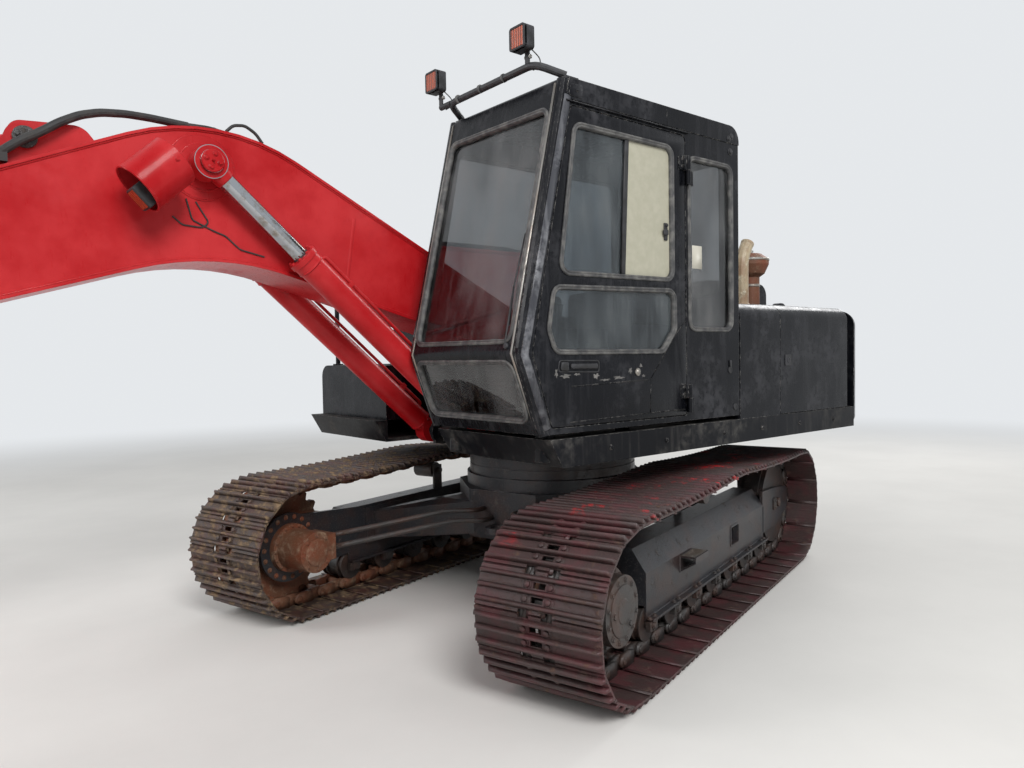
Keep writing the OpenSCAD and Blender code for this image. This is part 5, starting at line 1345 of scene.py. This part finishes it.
class EXCAVATOR_OT_undercarriage(bpy.types.Operator):
    """Bolts, caps and welds of the track frames, wheels and travel motors"""
    bl_idname = "excavator.undercarriage"
    bl_label = "Undercarriage"

    def execute(self, context):
        beam_half = 0.112
        for side, name, metal in ((1, "left", "cast"), (-1, "right", "rust")):
            plane = beside(side)
            on_beam = lambda u, v, h: plane(u, v, beam_half + h)
            on_lip = lambda u, v, h: plane(u, v, beam_half + 0.001 + h)
            outward = plane(0, 0, 1) - plane(0, 0, 0)
            hub = lambda h: plane(SPROCKET_X, TUMBLER_Z, h)
            # final drive: cover bolts, the cover's steps and its two drain plugs
            cover = [
                (-0.002, 0.122), (0.005, 0.120), (0.007, 0.112), (0.005, 0.060), (0.009, 0.054),
                (0.009, 0.020),
            ]
            drive = [
                bolt_ring(hub(0.223), outward, 0.142, 12, 0.010, 0.009),
                bolt_ring(hub(0.145), outward, 0.181, 20, 0.008, 0.008),
                bolt_ring(hub(0.060), outward, 0.213, 16, 0.010, 0.010),
                lathe(hub(0.223), outward, cover, 40),
                bolt(plane(SPROCKET_X + 0.095, TUMBLER_Z, 0.228), outward, 0.014, 0.012),
                bolt(plane(SPROCKET_X - 0.060, TUMBLER_Z - 0.070, 0.228), outward, 0.014, 0.012),
            ]
            piece("drive_bolts_" + name, drive, metal, "undercarriage", 30)
            # travel motor, on the inner side: two flanges' bolts, and the end cover with its own
            cover = [(-0.002, 0.085), (0.006, 0.083), (0.010, 0.074), (0.010, 0.020)]
            motor = [
                bolt_ring(hub(-0.112), -outward, 0.190, 18, 0.011, 0.011),
                bolt_ring(hub(-0.152), -outward, 0.138, 16, 0.008, 0.009),
                bolt_ring(hub(-0.372), -outward, 0.104, 8, 0.010, 0.010),
                lathe(hub(-0.372), -outward, cover, 32),
            ]
            piece("motor_bolts_" + name, motor, "rust", "undercarriage", 30)
            # idler: hub cap, and the axle's lock plate on the yoke with its two bolts
            axle = plane(IDLER_X, TUMBLER_Z, 0.132)
            lock = rect(IDLER_X + 0.050, TUMBLER_Z - 0.045, IDLER_X + 0.110, TUMBLER_Z + 0.045)
            idler = [
                lathe(axle, outward, [(-0.002, 0.035), (0.003, 0.033), (0.003, 0.012), (0.006, 0.010)], 20),
                prism(filleted(lock, 0.010), on_beam, -0.001, 0.012),
            ]
            idler += [
                bolt(plane(IDLER_X + 0.080, TUMBLER_Z + up, beam_half + 0.012), outward, 0.011, 0.009)
                for up in (-0.025, 0.025)
            ]
            # rollers: the shafts' ends and the saddles' bolts through the beam's lip
            shaft = [(-0.002, 0.018), (0.004, 0.017), (0.005, 0.008)]
            for k in range(7):
                x = IDLER_X + 0.450 + k * 0.32667
                idler.append(lathe(plane(x, 0.1903, 0.147), outward, shaft, 12))
                idler += [
                    bolt(plane(x + dx, 0.230, 0.130), (0, 0, 1), 0.011, 0.011) for dx in (-0.032, 0.032)
                ]
            piece("frame_bolts_" + name, idler, "cast", "undercarriage", 30)
            # welds: along the beam's lip, up its end at the yoke and beside the step
            welds = [
                seam([(IDLER_X + 0.380, 0.231), (SPROCKET_X - 0.510, 0.231)], on_lip, 0.012, 0.006, False),
                seam([(IDLER_X + 0.3705, 0.270), (IDLER_X + 0.3705, 0.460)], on_beam, 0.014, 0.006, False),
                seam([(0.396, 0.362), (0.396, 0.452)], on_beam, 0.012, 0.007, False),
                seam([(0.604, 0.362), (0.604, 0.452)], on_beam, 0.012, 0.007, False),
            ]
            hatch = filleted(rect(-0.430, 0.3255, -0.280, 0.4405), 0.010)
            frame_lip = [(0.012, -0.001), (0.012, 0.004), (0.001, 0.005), (0.001, -0.001)]
            welds.append(band(hatch, on_beam, frame_lip))
            # grease valve of the adjuster inside its hatch
            valve = plane(-0.355, 0.383, beam_half - 0.060)
            nipple = [
                (-0.002, 0.022), (0.012, 0.022), (0.013, 0.014), (0.026, 0.013), (0.028, 0.006),
                (0.036, 0.006),
            ]
            welds.append(lathe(valve, outward, nipple, 12))
            piece("frame_welds_" + name, welds, "frame", "undercarriage", 40)
            # ribs on the step that grip a boot
            on_step = lambda u, v, h: plane(u, 0.455 + h, v)
            ribs = []
            for k in range(8):
                x = 0.415 + k * 0.024
                ribs.append(dished(rect(x, 0.120, x + 0.006, 0.198), on_step, -0.001, 0.005, 0.002))
            piece("step_ribs_" + name, ribs, "bright", "undercarriage", 30)
        # slewing ring: bolts under its outer race
        ring = bolt_ring((0, 0, 1.0529), (0, 0, -1), 0.600, 36, 0.012, 0.010)
        piece("ring_bolts", ring, "cast", "undercarriage", 30)
        return {"FINISHED"}


# Boom, arm and bucket
BOOM = [(0.120, 1.495), (2.407, 2.155), (5.360, 1.262), (5.450, 1.485), (2.382, 2.855), (0.110, 1.710)]
BOOM_ROUNDS = [0.0, 1.300, 0.0, 0.0, 0.960, 0.0]
ARM = [
    (-0.120, -0.120), (0.600, -0.190), (2.000, -0.115), (2.440, -0.075), (2.470, 0.075), (2.000, 0.130),
    (0.700, 0.270), (0.150, 0.340), (-0.090, 0.330)
]
ARM_ROUNDS = [0.0, 1.500, 0.0, 0.0, 0.0, 0.0, 1.500, 1.500, 0.090]
LIP = 0.014
WEB = 0.012
CYL_TURN = math.atan2(ROD_PIN[1] - CYL_FOOT[1], ROD_PIN[0] - CYL_FOOT[0])
CYL_SHUT = math.dist(ROD_PIN, CYL_FOOT) - 0.493


def pin_end(centre, way, radius, count=3):
    """A pin's end cap with its bolts and a grease fitting"""
    way = Vector(way).normalized()
    centre = Vector(centre)
    nipple = [(-0.001, 0.007), (0.010, 0.006), (0.012, 0.004), (0.018, 0.004)]
    return joined([
        lathe(centre, way, [(-0.002, radius), (0.006, radius), (0.009, radius * 0.93), (0.009, 0.010)], 28),
        bolt_ring(centre + way * 0.009, way, radius * 0.62, count, 0.009, 0.008, 0.5),
        lathe(centre + way * 0.009, way, nipple, 8),
    ])


def keeper(pin, y, sign, angle, length=0.130):
    """A flag plate that keeps a pin from turning, held by two bolts"""
    u = Vector((math.cos(angle), 0, math.sin(angle)))
    w = Vector((-math.sin(angle), 0, math.cos(angle)))
    place = lambda a, b, h: Vector((pin[0], sign * (y + h), pin[1])) + u * a + w * b
    plate = filleted([(-0.030, -0.030), (length, -0.022), (length, 0.022), (-0.030, 0.030)], 0.014)
    bolts = [bolt(place(length - back, 0, 0.010), (0, sign, 0), 0.010, 0.009) for back in (0.022, 0.058)]
    return joined([prism(plate, place, -0.001, 0.010), *bolts])


def web_seams(outline, rounds, y):
    """The two weld beads on each web, inside the upper and lower plates' lips"""
    line = filleted(outline, rounds)
    inner = inset(line, LIP + 0.003)
    return both_sides(seam(inner, on_side(y), 0.012, 0.007))


class EXCAVATOR_OT_boom(bpy.types.Operator):
    """Welds, pins, glands, forged eyes and lamp of the boom and its cylinders"""
    bl_idname = "excavator.boom"
    bl_label = "Boom"

    def execute(self, context):
        web = BOOM_HALF - WEB
        around = lambda centre, r: [plus(centre, polar(r, math.tau * k / 40)) for k in range(40)]
        beads = [
            web_seams(BOOM, BOOM_ROUNDS, web),
            both_sides(seam(around(ROD_PIN, 0.158), on_side(web), 0.012, 0.006)),
            both_sides(seam(around(ROD_PIN, 0.113), on_side(web + 0.008), 0.010, 0.005)),
        ]
        # splice of the web plates behind the rod's boss, ground nearly flush
        splice = [(1.700, 2.000), (1.640, 2.390)]
        flat = half_round(0.020, 0.002, 0.002, 4)
        beads.append(both_sides(band(splice, on_side(web), flat, closed=False)))
        piece("boom_welds", beads, "red", "boom", 60)
        # pins at the tip and at the arm cylinder's base
        pins = [both_sides(pin_end((BOOM_TIP[0], 0.215, BOOM_TIP[1]), (0, 1, 0), 0.041))]
        pins.append(both_sides(pin_end((ARM_BASE_PIN[0], 0.111, ARM_BASE_PIN[1]), (0, 1, 0), 0.049)))
        pins.append(both_sides(keeper((BOOM_TIP[0], BOOM_TIP[1]), BOOM_HALF, 1, math.radians(150))))
        piece("boom_pins", pins, "cast", "boom", 30)
        # the rods' eyes: bolted caps over the pin
        caps = both_sides(pin_end((ROD_PIN[0], CYL_Y + 0.066, ROD_PIN[1]), (0, 1, 0), 0.054, 4))
        piece("rod_pin_caps", caps, "red", "boom_cylinder_rods", 30)
        # the rods' forged eyes are painted; the chrome starts past their necks
        back = Vector((-math.cos(CYL_TURN), 0, -math.sin(CYL_TURN)))
        eye = Vector((ROD_PIN[0], CYL_Y, ROD_PIN[1]))
        barrel = [(0.0, 0.076), (0.004, 0.0805), (0.0972, 0.0805), (0.1012, 0.076)]
        eyes = [
            lathe(eye - Vector((0, barrel[-1][0] / 2, 0)), (0, 1, 0), barrel, 40),
            lathe(eye, back, [(0.060, 0.050), (0.086, 0.049), (0.108, 0.0465), (0.112, 0.0428)], 28),
        ]
        piece("rod_eyes", both_sides(joined(eyes)), "red", "boom_cylinder_rods", 30)
        # each barrel: its gland's clamp ring and bolts, the collar behind it, the foot's weld and its pin
        foot = Vector((CYL_FOOT[0], CYL_Y, CYL_FOOT[1]))
        end, weld = foot - back * (CYL_SHUT - 0.120), foot - back * 0.100
        clamp = [(-0.034, 0.0765), (-0.032, 0.0825), (-0.004, 0.0825), (-0.001, 0.080)]
        collar = [(-0.004, 0.0755), (0.0, 0.079), (0.006, 0.079), (0.010, 0.0755)]
        glands = [
            lathe(end, -back, clamp, 36),
            bolt_ring(end + back * 0.001, -back, 0.068, 8, 0.009, 0.011),
            lathe(end + back * 0.075, -back, collar, 36),
            lathe(weld, -back, [(-0.006, 0.052), (-0.005, 0.074), (0.002, 0.075), (0.008, 0.0725)], 32),
            pin_end((CYL_FOOT[0], CYL_Y + 0.051, CYL_FOOT[1]), (0, 1, 0), 0.040),
        ]
        glands = both_sides(joined(glands))
        piece("boom_cylinder_glands", glands, "red", "boom_cylinder_barrels", 30)
        wiper = lathe(end, -back, [(-0.002, 0.046), (0.005, 0.0455), (0.007, 0.0435), (0.007, 0.0426)], 28)
        piece(
            "boom_cylinder_wipers", both_sides(wiper), "plastic", "boom_cylinder_barrels"
        )
        # boom lamp: glass, reflector's rim with its screws, and the guard's rolled edge
        drop, at = math.radians(43), Vector((2.720, 0.355, 2.455))
        ahead = Vector((math.cos(drop), 0, -math.sin(drop)))
        rim = [(-0.002, 0.086), (0.006, 0.086), (0.010, 0.080), (0.006, 0.074), (-0.001, 0.074)]
        rim = lathe(at - ahead * 0.010, ahead, rim, 36, True)
        screws = bolt_ring(at - ahead * 0.008, ahead, 0.080, 6, 0.005, 0.004)
        piece("boom_lamp_rim", [rim, screws], "bright", "boom", 40)
        # the dome's pale colour paints the reflector's shine behind the glass, a painted reflection
        dome = [(-0.003, 0.075), (0.004, 0.060), (0.009, 0.030), (0.010, 0.004)]
        glass = lathe(at - ahead * 0.006, ahead, dome, 32)
        piece("boom_lamp_glass", glass, "lamp_glass", "boom", 60)
        edge = at + ahead * 0.110
        roll = [
            (-0.010, 0.1175), (-0.008, 0.1205), (0.0, 0.1210), (0.003, 0.1180), (0.003, 0.1130),
            (-0.010, 0.1115),
        ]
        roll = lathe(edge, ahead, roll, 48, True)
        # square working lamp that hangs out of its round guard
        side = Vector((0, 1, 0))
        down = side.cross(ahead)
        lamp = lambda u, v, h: edge + side * u + down * (v + 0.035) + ahead * h
        square = lambda half: filleted(rect(-half, -half, half, half), 0.010)
        case = dished(square(0.056), lamp, -0.080, 0.034, 0.006)
        piece("boom_lamp_case", case, "plastic", "boom", 30)
        piece("boom_lamp_lens", prism(square(0.046), lamp, 0.033, 0.0355), "lens", "boom", 0)
        hinge = bolt(at - ahead * 0.080 + Vector((0, 0.118, 0)), (0, 1, 0), 0.008, 0.007)
        piece("boom_lamp_edge", [roll, hinge], "red", "boom", 40)
        return {"FINISHED"}


def up_to(line, limit):
    """The open part of a closed outline that lies before a limit"""
    kept, start = [], 0
    for p, q in zip(line, line[1:] + line[:1]):
        if p[0] < limit:
            kept.append(p)
        if (p[0] < limit) != (q[0] < limit):
            kept.append(mix(p, q, (limit - p[0]) / (q[0] - p[0])))
            start = len(kept) if p[0] < limit else start
    return kept[start:] + kept[:start]


class EXCAVATOR_OT_arm(bpy.types.Operator):
    """Welds, pins and gland of the arm and its cylinder, and the bucket's teeth locks and pins"""
    bl_idname = "excavator.arm"
    bl_label = "Arm and bucket"

    def execute(self, context):
        web = ARM_HALF - WEB
        place = lambda u, v, h: on_arm(u, v, web + h)
        # the beads end where the webs step in for the rocker links
        inner = up_to(inset(filleted(ARM, ARM_ROUNDS), LIP + 0.003), ARM_LEN - 0.612)
        beads = both_sides(seam(inner, place, 0.012, 0.007, closed=False))
        piece("arm_welds", beads, "red", "arm", 60)
        # arm cylinder: its gland's bolts and the collar behind them
        lug = plus(BOOM_TIP, polar(0.720, -ARM_DROP + math.radians(148)))
        turn = math.atan2(lug[1] - ARM_BASE_PIN[1], lug[0] - ARM_BASE_PIN[0])
        shut = math.dist(lug, ARM_BASE_PIN) - 0.044
        way = Vector((math.cos(turn), 0, math.sin(turn)))
        end = Vector((ARM_BASE_PIN[0], 0, ARM_BASE_PIN[1])) + way * (shut - 0.120)
        collar = [(-0.004, 0.071), (0.0, 0.0745), (0.006, 0.0745), (0.010, 0.071)]
        parts = [bolt_ring(end, way, 0.056, 8, 0.008, 0.009), lathe(end - way * 0.075, way, collar, 36)]
        piece("arm_cylinder_gland", parts, "red", "arm_cylinder_barrel", 30)
        # end caps of the pin that the rocker links turn on
        cap = both_sides(pin_end(on_arm(2.020, 0.030, 0.153), (0, 1, 0), 0.050))
        piece("arm_pins", cap, "cast", "arm", 30)
        # bucket: the teeth's locking pins and their adapters' welds, and the pins' ends in the ears
        way = Vector((0.45, -0.9)).normalized()
        across = Vector((way.y, -way.x))
        edge = Vector((BUCKET_R, 0)) - way * 0.190
        hole = edge + way * -0.030 + across * 0.018
        rib = [
            tuple(edge + way * a + across * b)
            for a, b in ((-0.108, 0.0335), (-0.040, 0.0625), (-0.028, 0.0625))
        ]
        bead = half_round(0.010, 0.005, 0.002, 4)
        teeth = []
        for k in range(5):
            y = -BUCKET_W / 2 + 0.050 + (BUCKET_W - 0.100) * k / 4
            for sign in (-1, 1):
                seat = on_bucket(hole.x, hole.y, y + sign * 0.0375)
                teeth.append(
                    lathe(seat, (0, sign, 0), [(-0.002, 0.011), (0.004, 0.011), (0.005, 0.006)], 12)
                )
                flank = lambda u, v, h, y=y, s=sign: on_bucket(u, v, y + s * (0.0375 + h))
                teeth.append(band(rib, flank, bead, closed=False))
        piece("bucket_teeth_pins", teeth, "cast", "bucket", 30)
        ears = [pin_end(on_bucket(0, 0, sign * (0.165 + 0.029)), (0, sign, 0), 0.039) for sign in (-1, 1)]
        piece("bucket_pins", ears, "cast", "bucket", 30)
        return {"FINISHED"}


# Housings
class EXCAVATOR_OT_house(bpy.types.Operator):
    """Latches, air slots, caps, bands and bolts of the housings, hood, tank and counterweight"""
    bl_idname = "excavator.house"
    bl_label = "Housings"

    def execute(self, context):
        button = [(-0.001, 0.020), (0.003, 0.019), (0.004, 0.012), (0.001, 0.010)]
        latch = [
            dished(filleted(rect(-0.940, 1.515, -0.868, 1.587), 0.008), SIDE, -0.001, 0.006, 0.002),
            lathe((-0.904, UPPER_HALF + 0.006, 1.551), (0, 1, 0), button, 18),
        ]
        piece("service_door_latch_left", latch, "plastic", "service_door_left", 30)
        latch = mirrored(joined(latch))
        piece("service_door_latch_right", latch, "plastic", "service_door_right", 30)
        # air slots pressed in the right service door
        slots = [
            dished(filleted(rect(x, 1.300, x + 0.026, 1.480), 0.0125), SIDE, -0.001, 0.008, 0.005)
            for x in [-1.600 + 0.048 * k for k in range(10)]
        ]
        slots = mirrored(joined(slots))
        piece("cooling_slots_right", slots, "black", "service_door_right", 30)
        # hood: three raised panels, two latches and a lifting handle
        hood = []
        for y in (-0.430, 0.0, 0.430):
            raised = filleted(rect(-1.540, y - 0.150, -0.980, y + 0.150), 0.040)
            hood.append(dished(raised, on_top(2.130), -0.001, 0.008, 0.006))
        for y in (-0.560, 0.560):
            hood.append(box_part((-0.8505, y - 0.020, 1.960), (-0.838, y + 0.020, 2.030), 0.004))
        piece("hood_pressings", hood, "black", "engine_hood", 30)
        route = [
            (-0.851, -0.090, 2.052), (-0.812, -0.085, 2.058), (-0.808, 0.0, 2.060),
            (-0.812, 0.085, 2.058), (-0.851, 0.090, 2.052),
        ]
        piece("hood_handle", tube(curve_through(route), 0.007, 8), "black", "engine_hood")
        # exhaust: rim of the cut tube, a black disc inside it for its soot and painted shade, and the
        # flange on the housing's top
        turn = Vector((-0.070, 0, 0.110)).normalized()
        mouth = Vector((-1.010, 0.960, 2.370))
        rim = [(-0.012, 0.0452), (0.000, 0.0465), (0.004, 0.0455), (0.004, 0.0415), (-0.012, 0.0410)]
        flange = [(0.001, 0.080), (0.006, 0.080), (0.008, 0.058), (0.030, 0.050), (0.034, 0.046)]
        parts = [
            lathe(mouth, turn, rim, 28, True),
            lathe((-0.940, 0.960, HOUSE_TOP), (0, 0, 1), flange, 28),
        ]
        piece("exhaust_rim", parts, "exhaust", "upperstructure", 40)
        # a black disc 4 mm inside the mouth: the tube's soot, and painted shade for its dark inside
        soot_and_shade = lathe(mouth, turn, [(0.0042, 0.0405), (0.0046, 0.030), (0.0046, 0.004)], 24)
        piece("exhaust_soot_and_painted_shade", soot_and_shade, "plastic", "upperstructure")
        # pre-cleaner: band clamp, rim and wing nut
        bowl = [
            lathe((-1.205, 0.860, height), (0, 0, 1), profile, sides) for height, profile, sides in (
                (2.150, [(-0.070, 0.0602), (-0.068, 0.064), (-0.052, 0.064), (-0.050, 0.0602)], 28),
                (2.280, [(-0.014, 0.1252), (-0.012, 0.129), (0.000, 0.129), (0.004, 0.1252)], 36),
                (2.325, [(-0.002, 0.016), (0.012, 0.015), (0.014, 0.006), (0.028, 0.006)], 12),
            )
        ]
        bowl.append(box_part((-1.233, 0.856, 2.333), (-1.177, 0.864, 2.349), 0.002))
        piece("cleaner_bands", bowl, "bright", "upperstructure", 30)
        # fuel filler, sight gauge and steps of the right side
        neck = [
            (-0.001, 0.062), (0.030, 0.062), (0.032, 0.072), (0.050, 0.072), (0.056, 0.064), (0.056, 0.010)
        ]
        cap = [
            lathe((-0.250, -1.020, HOUSE_TOP), (0, 0, 1), neck, 32),
            box_part((-0.310, -1.028, HOUSE_TOP + 0.052), (-0.190, -1.012, HOUSE_TOP + 0.070), 0.004),
        ]
        piece("fuel_cap", cap, "plastic", "upperstructure", 30)
        gauge = filleted(rect(0.380, 1.350, 0.420, 1.800), 0.018)
        gauge = dished(gauge, lambda u, v, h: Vector((u, -UPPER_HALF - h, v)), -0.001, 0.006, 0.003)
        piece("fuel_gauge", gauge, "glass", "upperstructure", 30)
        grip = []
        for i in range(9):
            for j in range(5):
                x, y = 0.060 * i, -1.250 + 0.150 * j
                bar = rect(0.560 + x, y, 0.596 + x, y + 0.100)
                grip.append(dished(bar, on_top(1.560), -0.001, 0.003, 0.001))
        piece("step_tread", grip, "plastic", "upperstructure", 30)
        # counterweight: the parting line over the tail and two plugs in its back
        tail = [polar(1.4207, math.radians(125 + 110 * k / 40)) for k in range(41)]
        tail = [plus(p, (-1.300, 0.0)) for p in tail]
        line = band(tail, on_top(1.300), rect(-0.003, -0.004, 0.003, 0.004), closed=False)
        plug = [(-0.010, 0.045), (0.003, 0.045), (0.006, 0.038), (0.006, 0.010)]
        plugs = [lathe((-2.691, y, 1.480), (-1, 0, 0), plug, 28) for y in (-0.280, 0.280)]
        piece("tail_line", [line, *plugs], "black", "upperstructure", 30)
        # skirt: bolts along the frame's edge
        along = (-1.500, -1.050, -0.600, -0.200, 0.350, 0.800)
        rivets = [bolt((x, UPPER_HALF, 1.125), (0, 1, 0), 0.011, 0.007) for x in along]
        piece("skirt_bolts", both_sides(joined(rivets)), "black_low", "upperstructure", 30)
        return {"FINISHED"}


STEPS = (
    EXCAVATOR_OT_finishes, EXCAVATOR_OT_tracks, EXCAVATOR_OT_cab_door, EXCAVATOR_OT_cab_trim,
    EXCAVATOR_OT_seat, EXCAVATOR_OT_lamps, EXCAVATOR_OT_undercarriage, EXCAVATOR_OT_boom,
    EXCAVATOR_OT_arm, EXCAVATOR_OT_house, EXCAVATOR_OT_stage,
)


class EXCAVATOR_PT_panel(bpy.types.Panel):
    """Lists the steps that dress the excavator"""
    bl_idname = "EXCAVATOR_PT_panel"
    bl_label = "Excavator"
    bl_space_type = "VIEW_3D"
    bl_region_type = "UI"
    bl_category = "Excavator"

    def draw(self, context):
        for group in GROUPS:
            settings = getattr(context.scene, group)
            box = self.layout.box()
            for name in settings.bl_rna.properties.keys():
                if name not in ("rna_type", "name"):
                    box.prop(settings, name)
        for step in STEPS:
            self.layout.operator(step.bl_idname)


GROUPS = {
    "excavator_paint": PaintSettings, "excavator_track": TrackSettings,
    "excavator_cab": CabSettings, "excavator_stage": StageSettings,
}
CLASSES = (*GROUPS.values(), *STEPS, EXCAVATOR_PT_panel)


def register():
    for made in CLASSES:
        bpy.utils.register_class(made)
    for name, group in GROUPS.items():
        setattr(bpy.types.Scene, name, PointerProperty(type=group))


def unregister():
    for name in GROUPS:
        delattr(bpy.types.Scene, name)
    for made in reversed(CLASSES):
        bpy.utils.unregister_class(made)


def main():
    """Runs every step in order"""
    register()
    for step in STEPS:
        group, name = step.bl_idname.split(".")
        getattr(getattr(bpy.ops, group), name)()


if __name__ == "__main__":
    main()
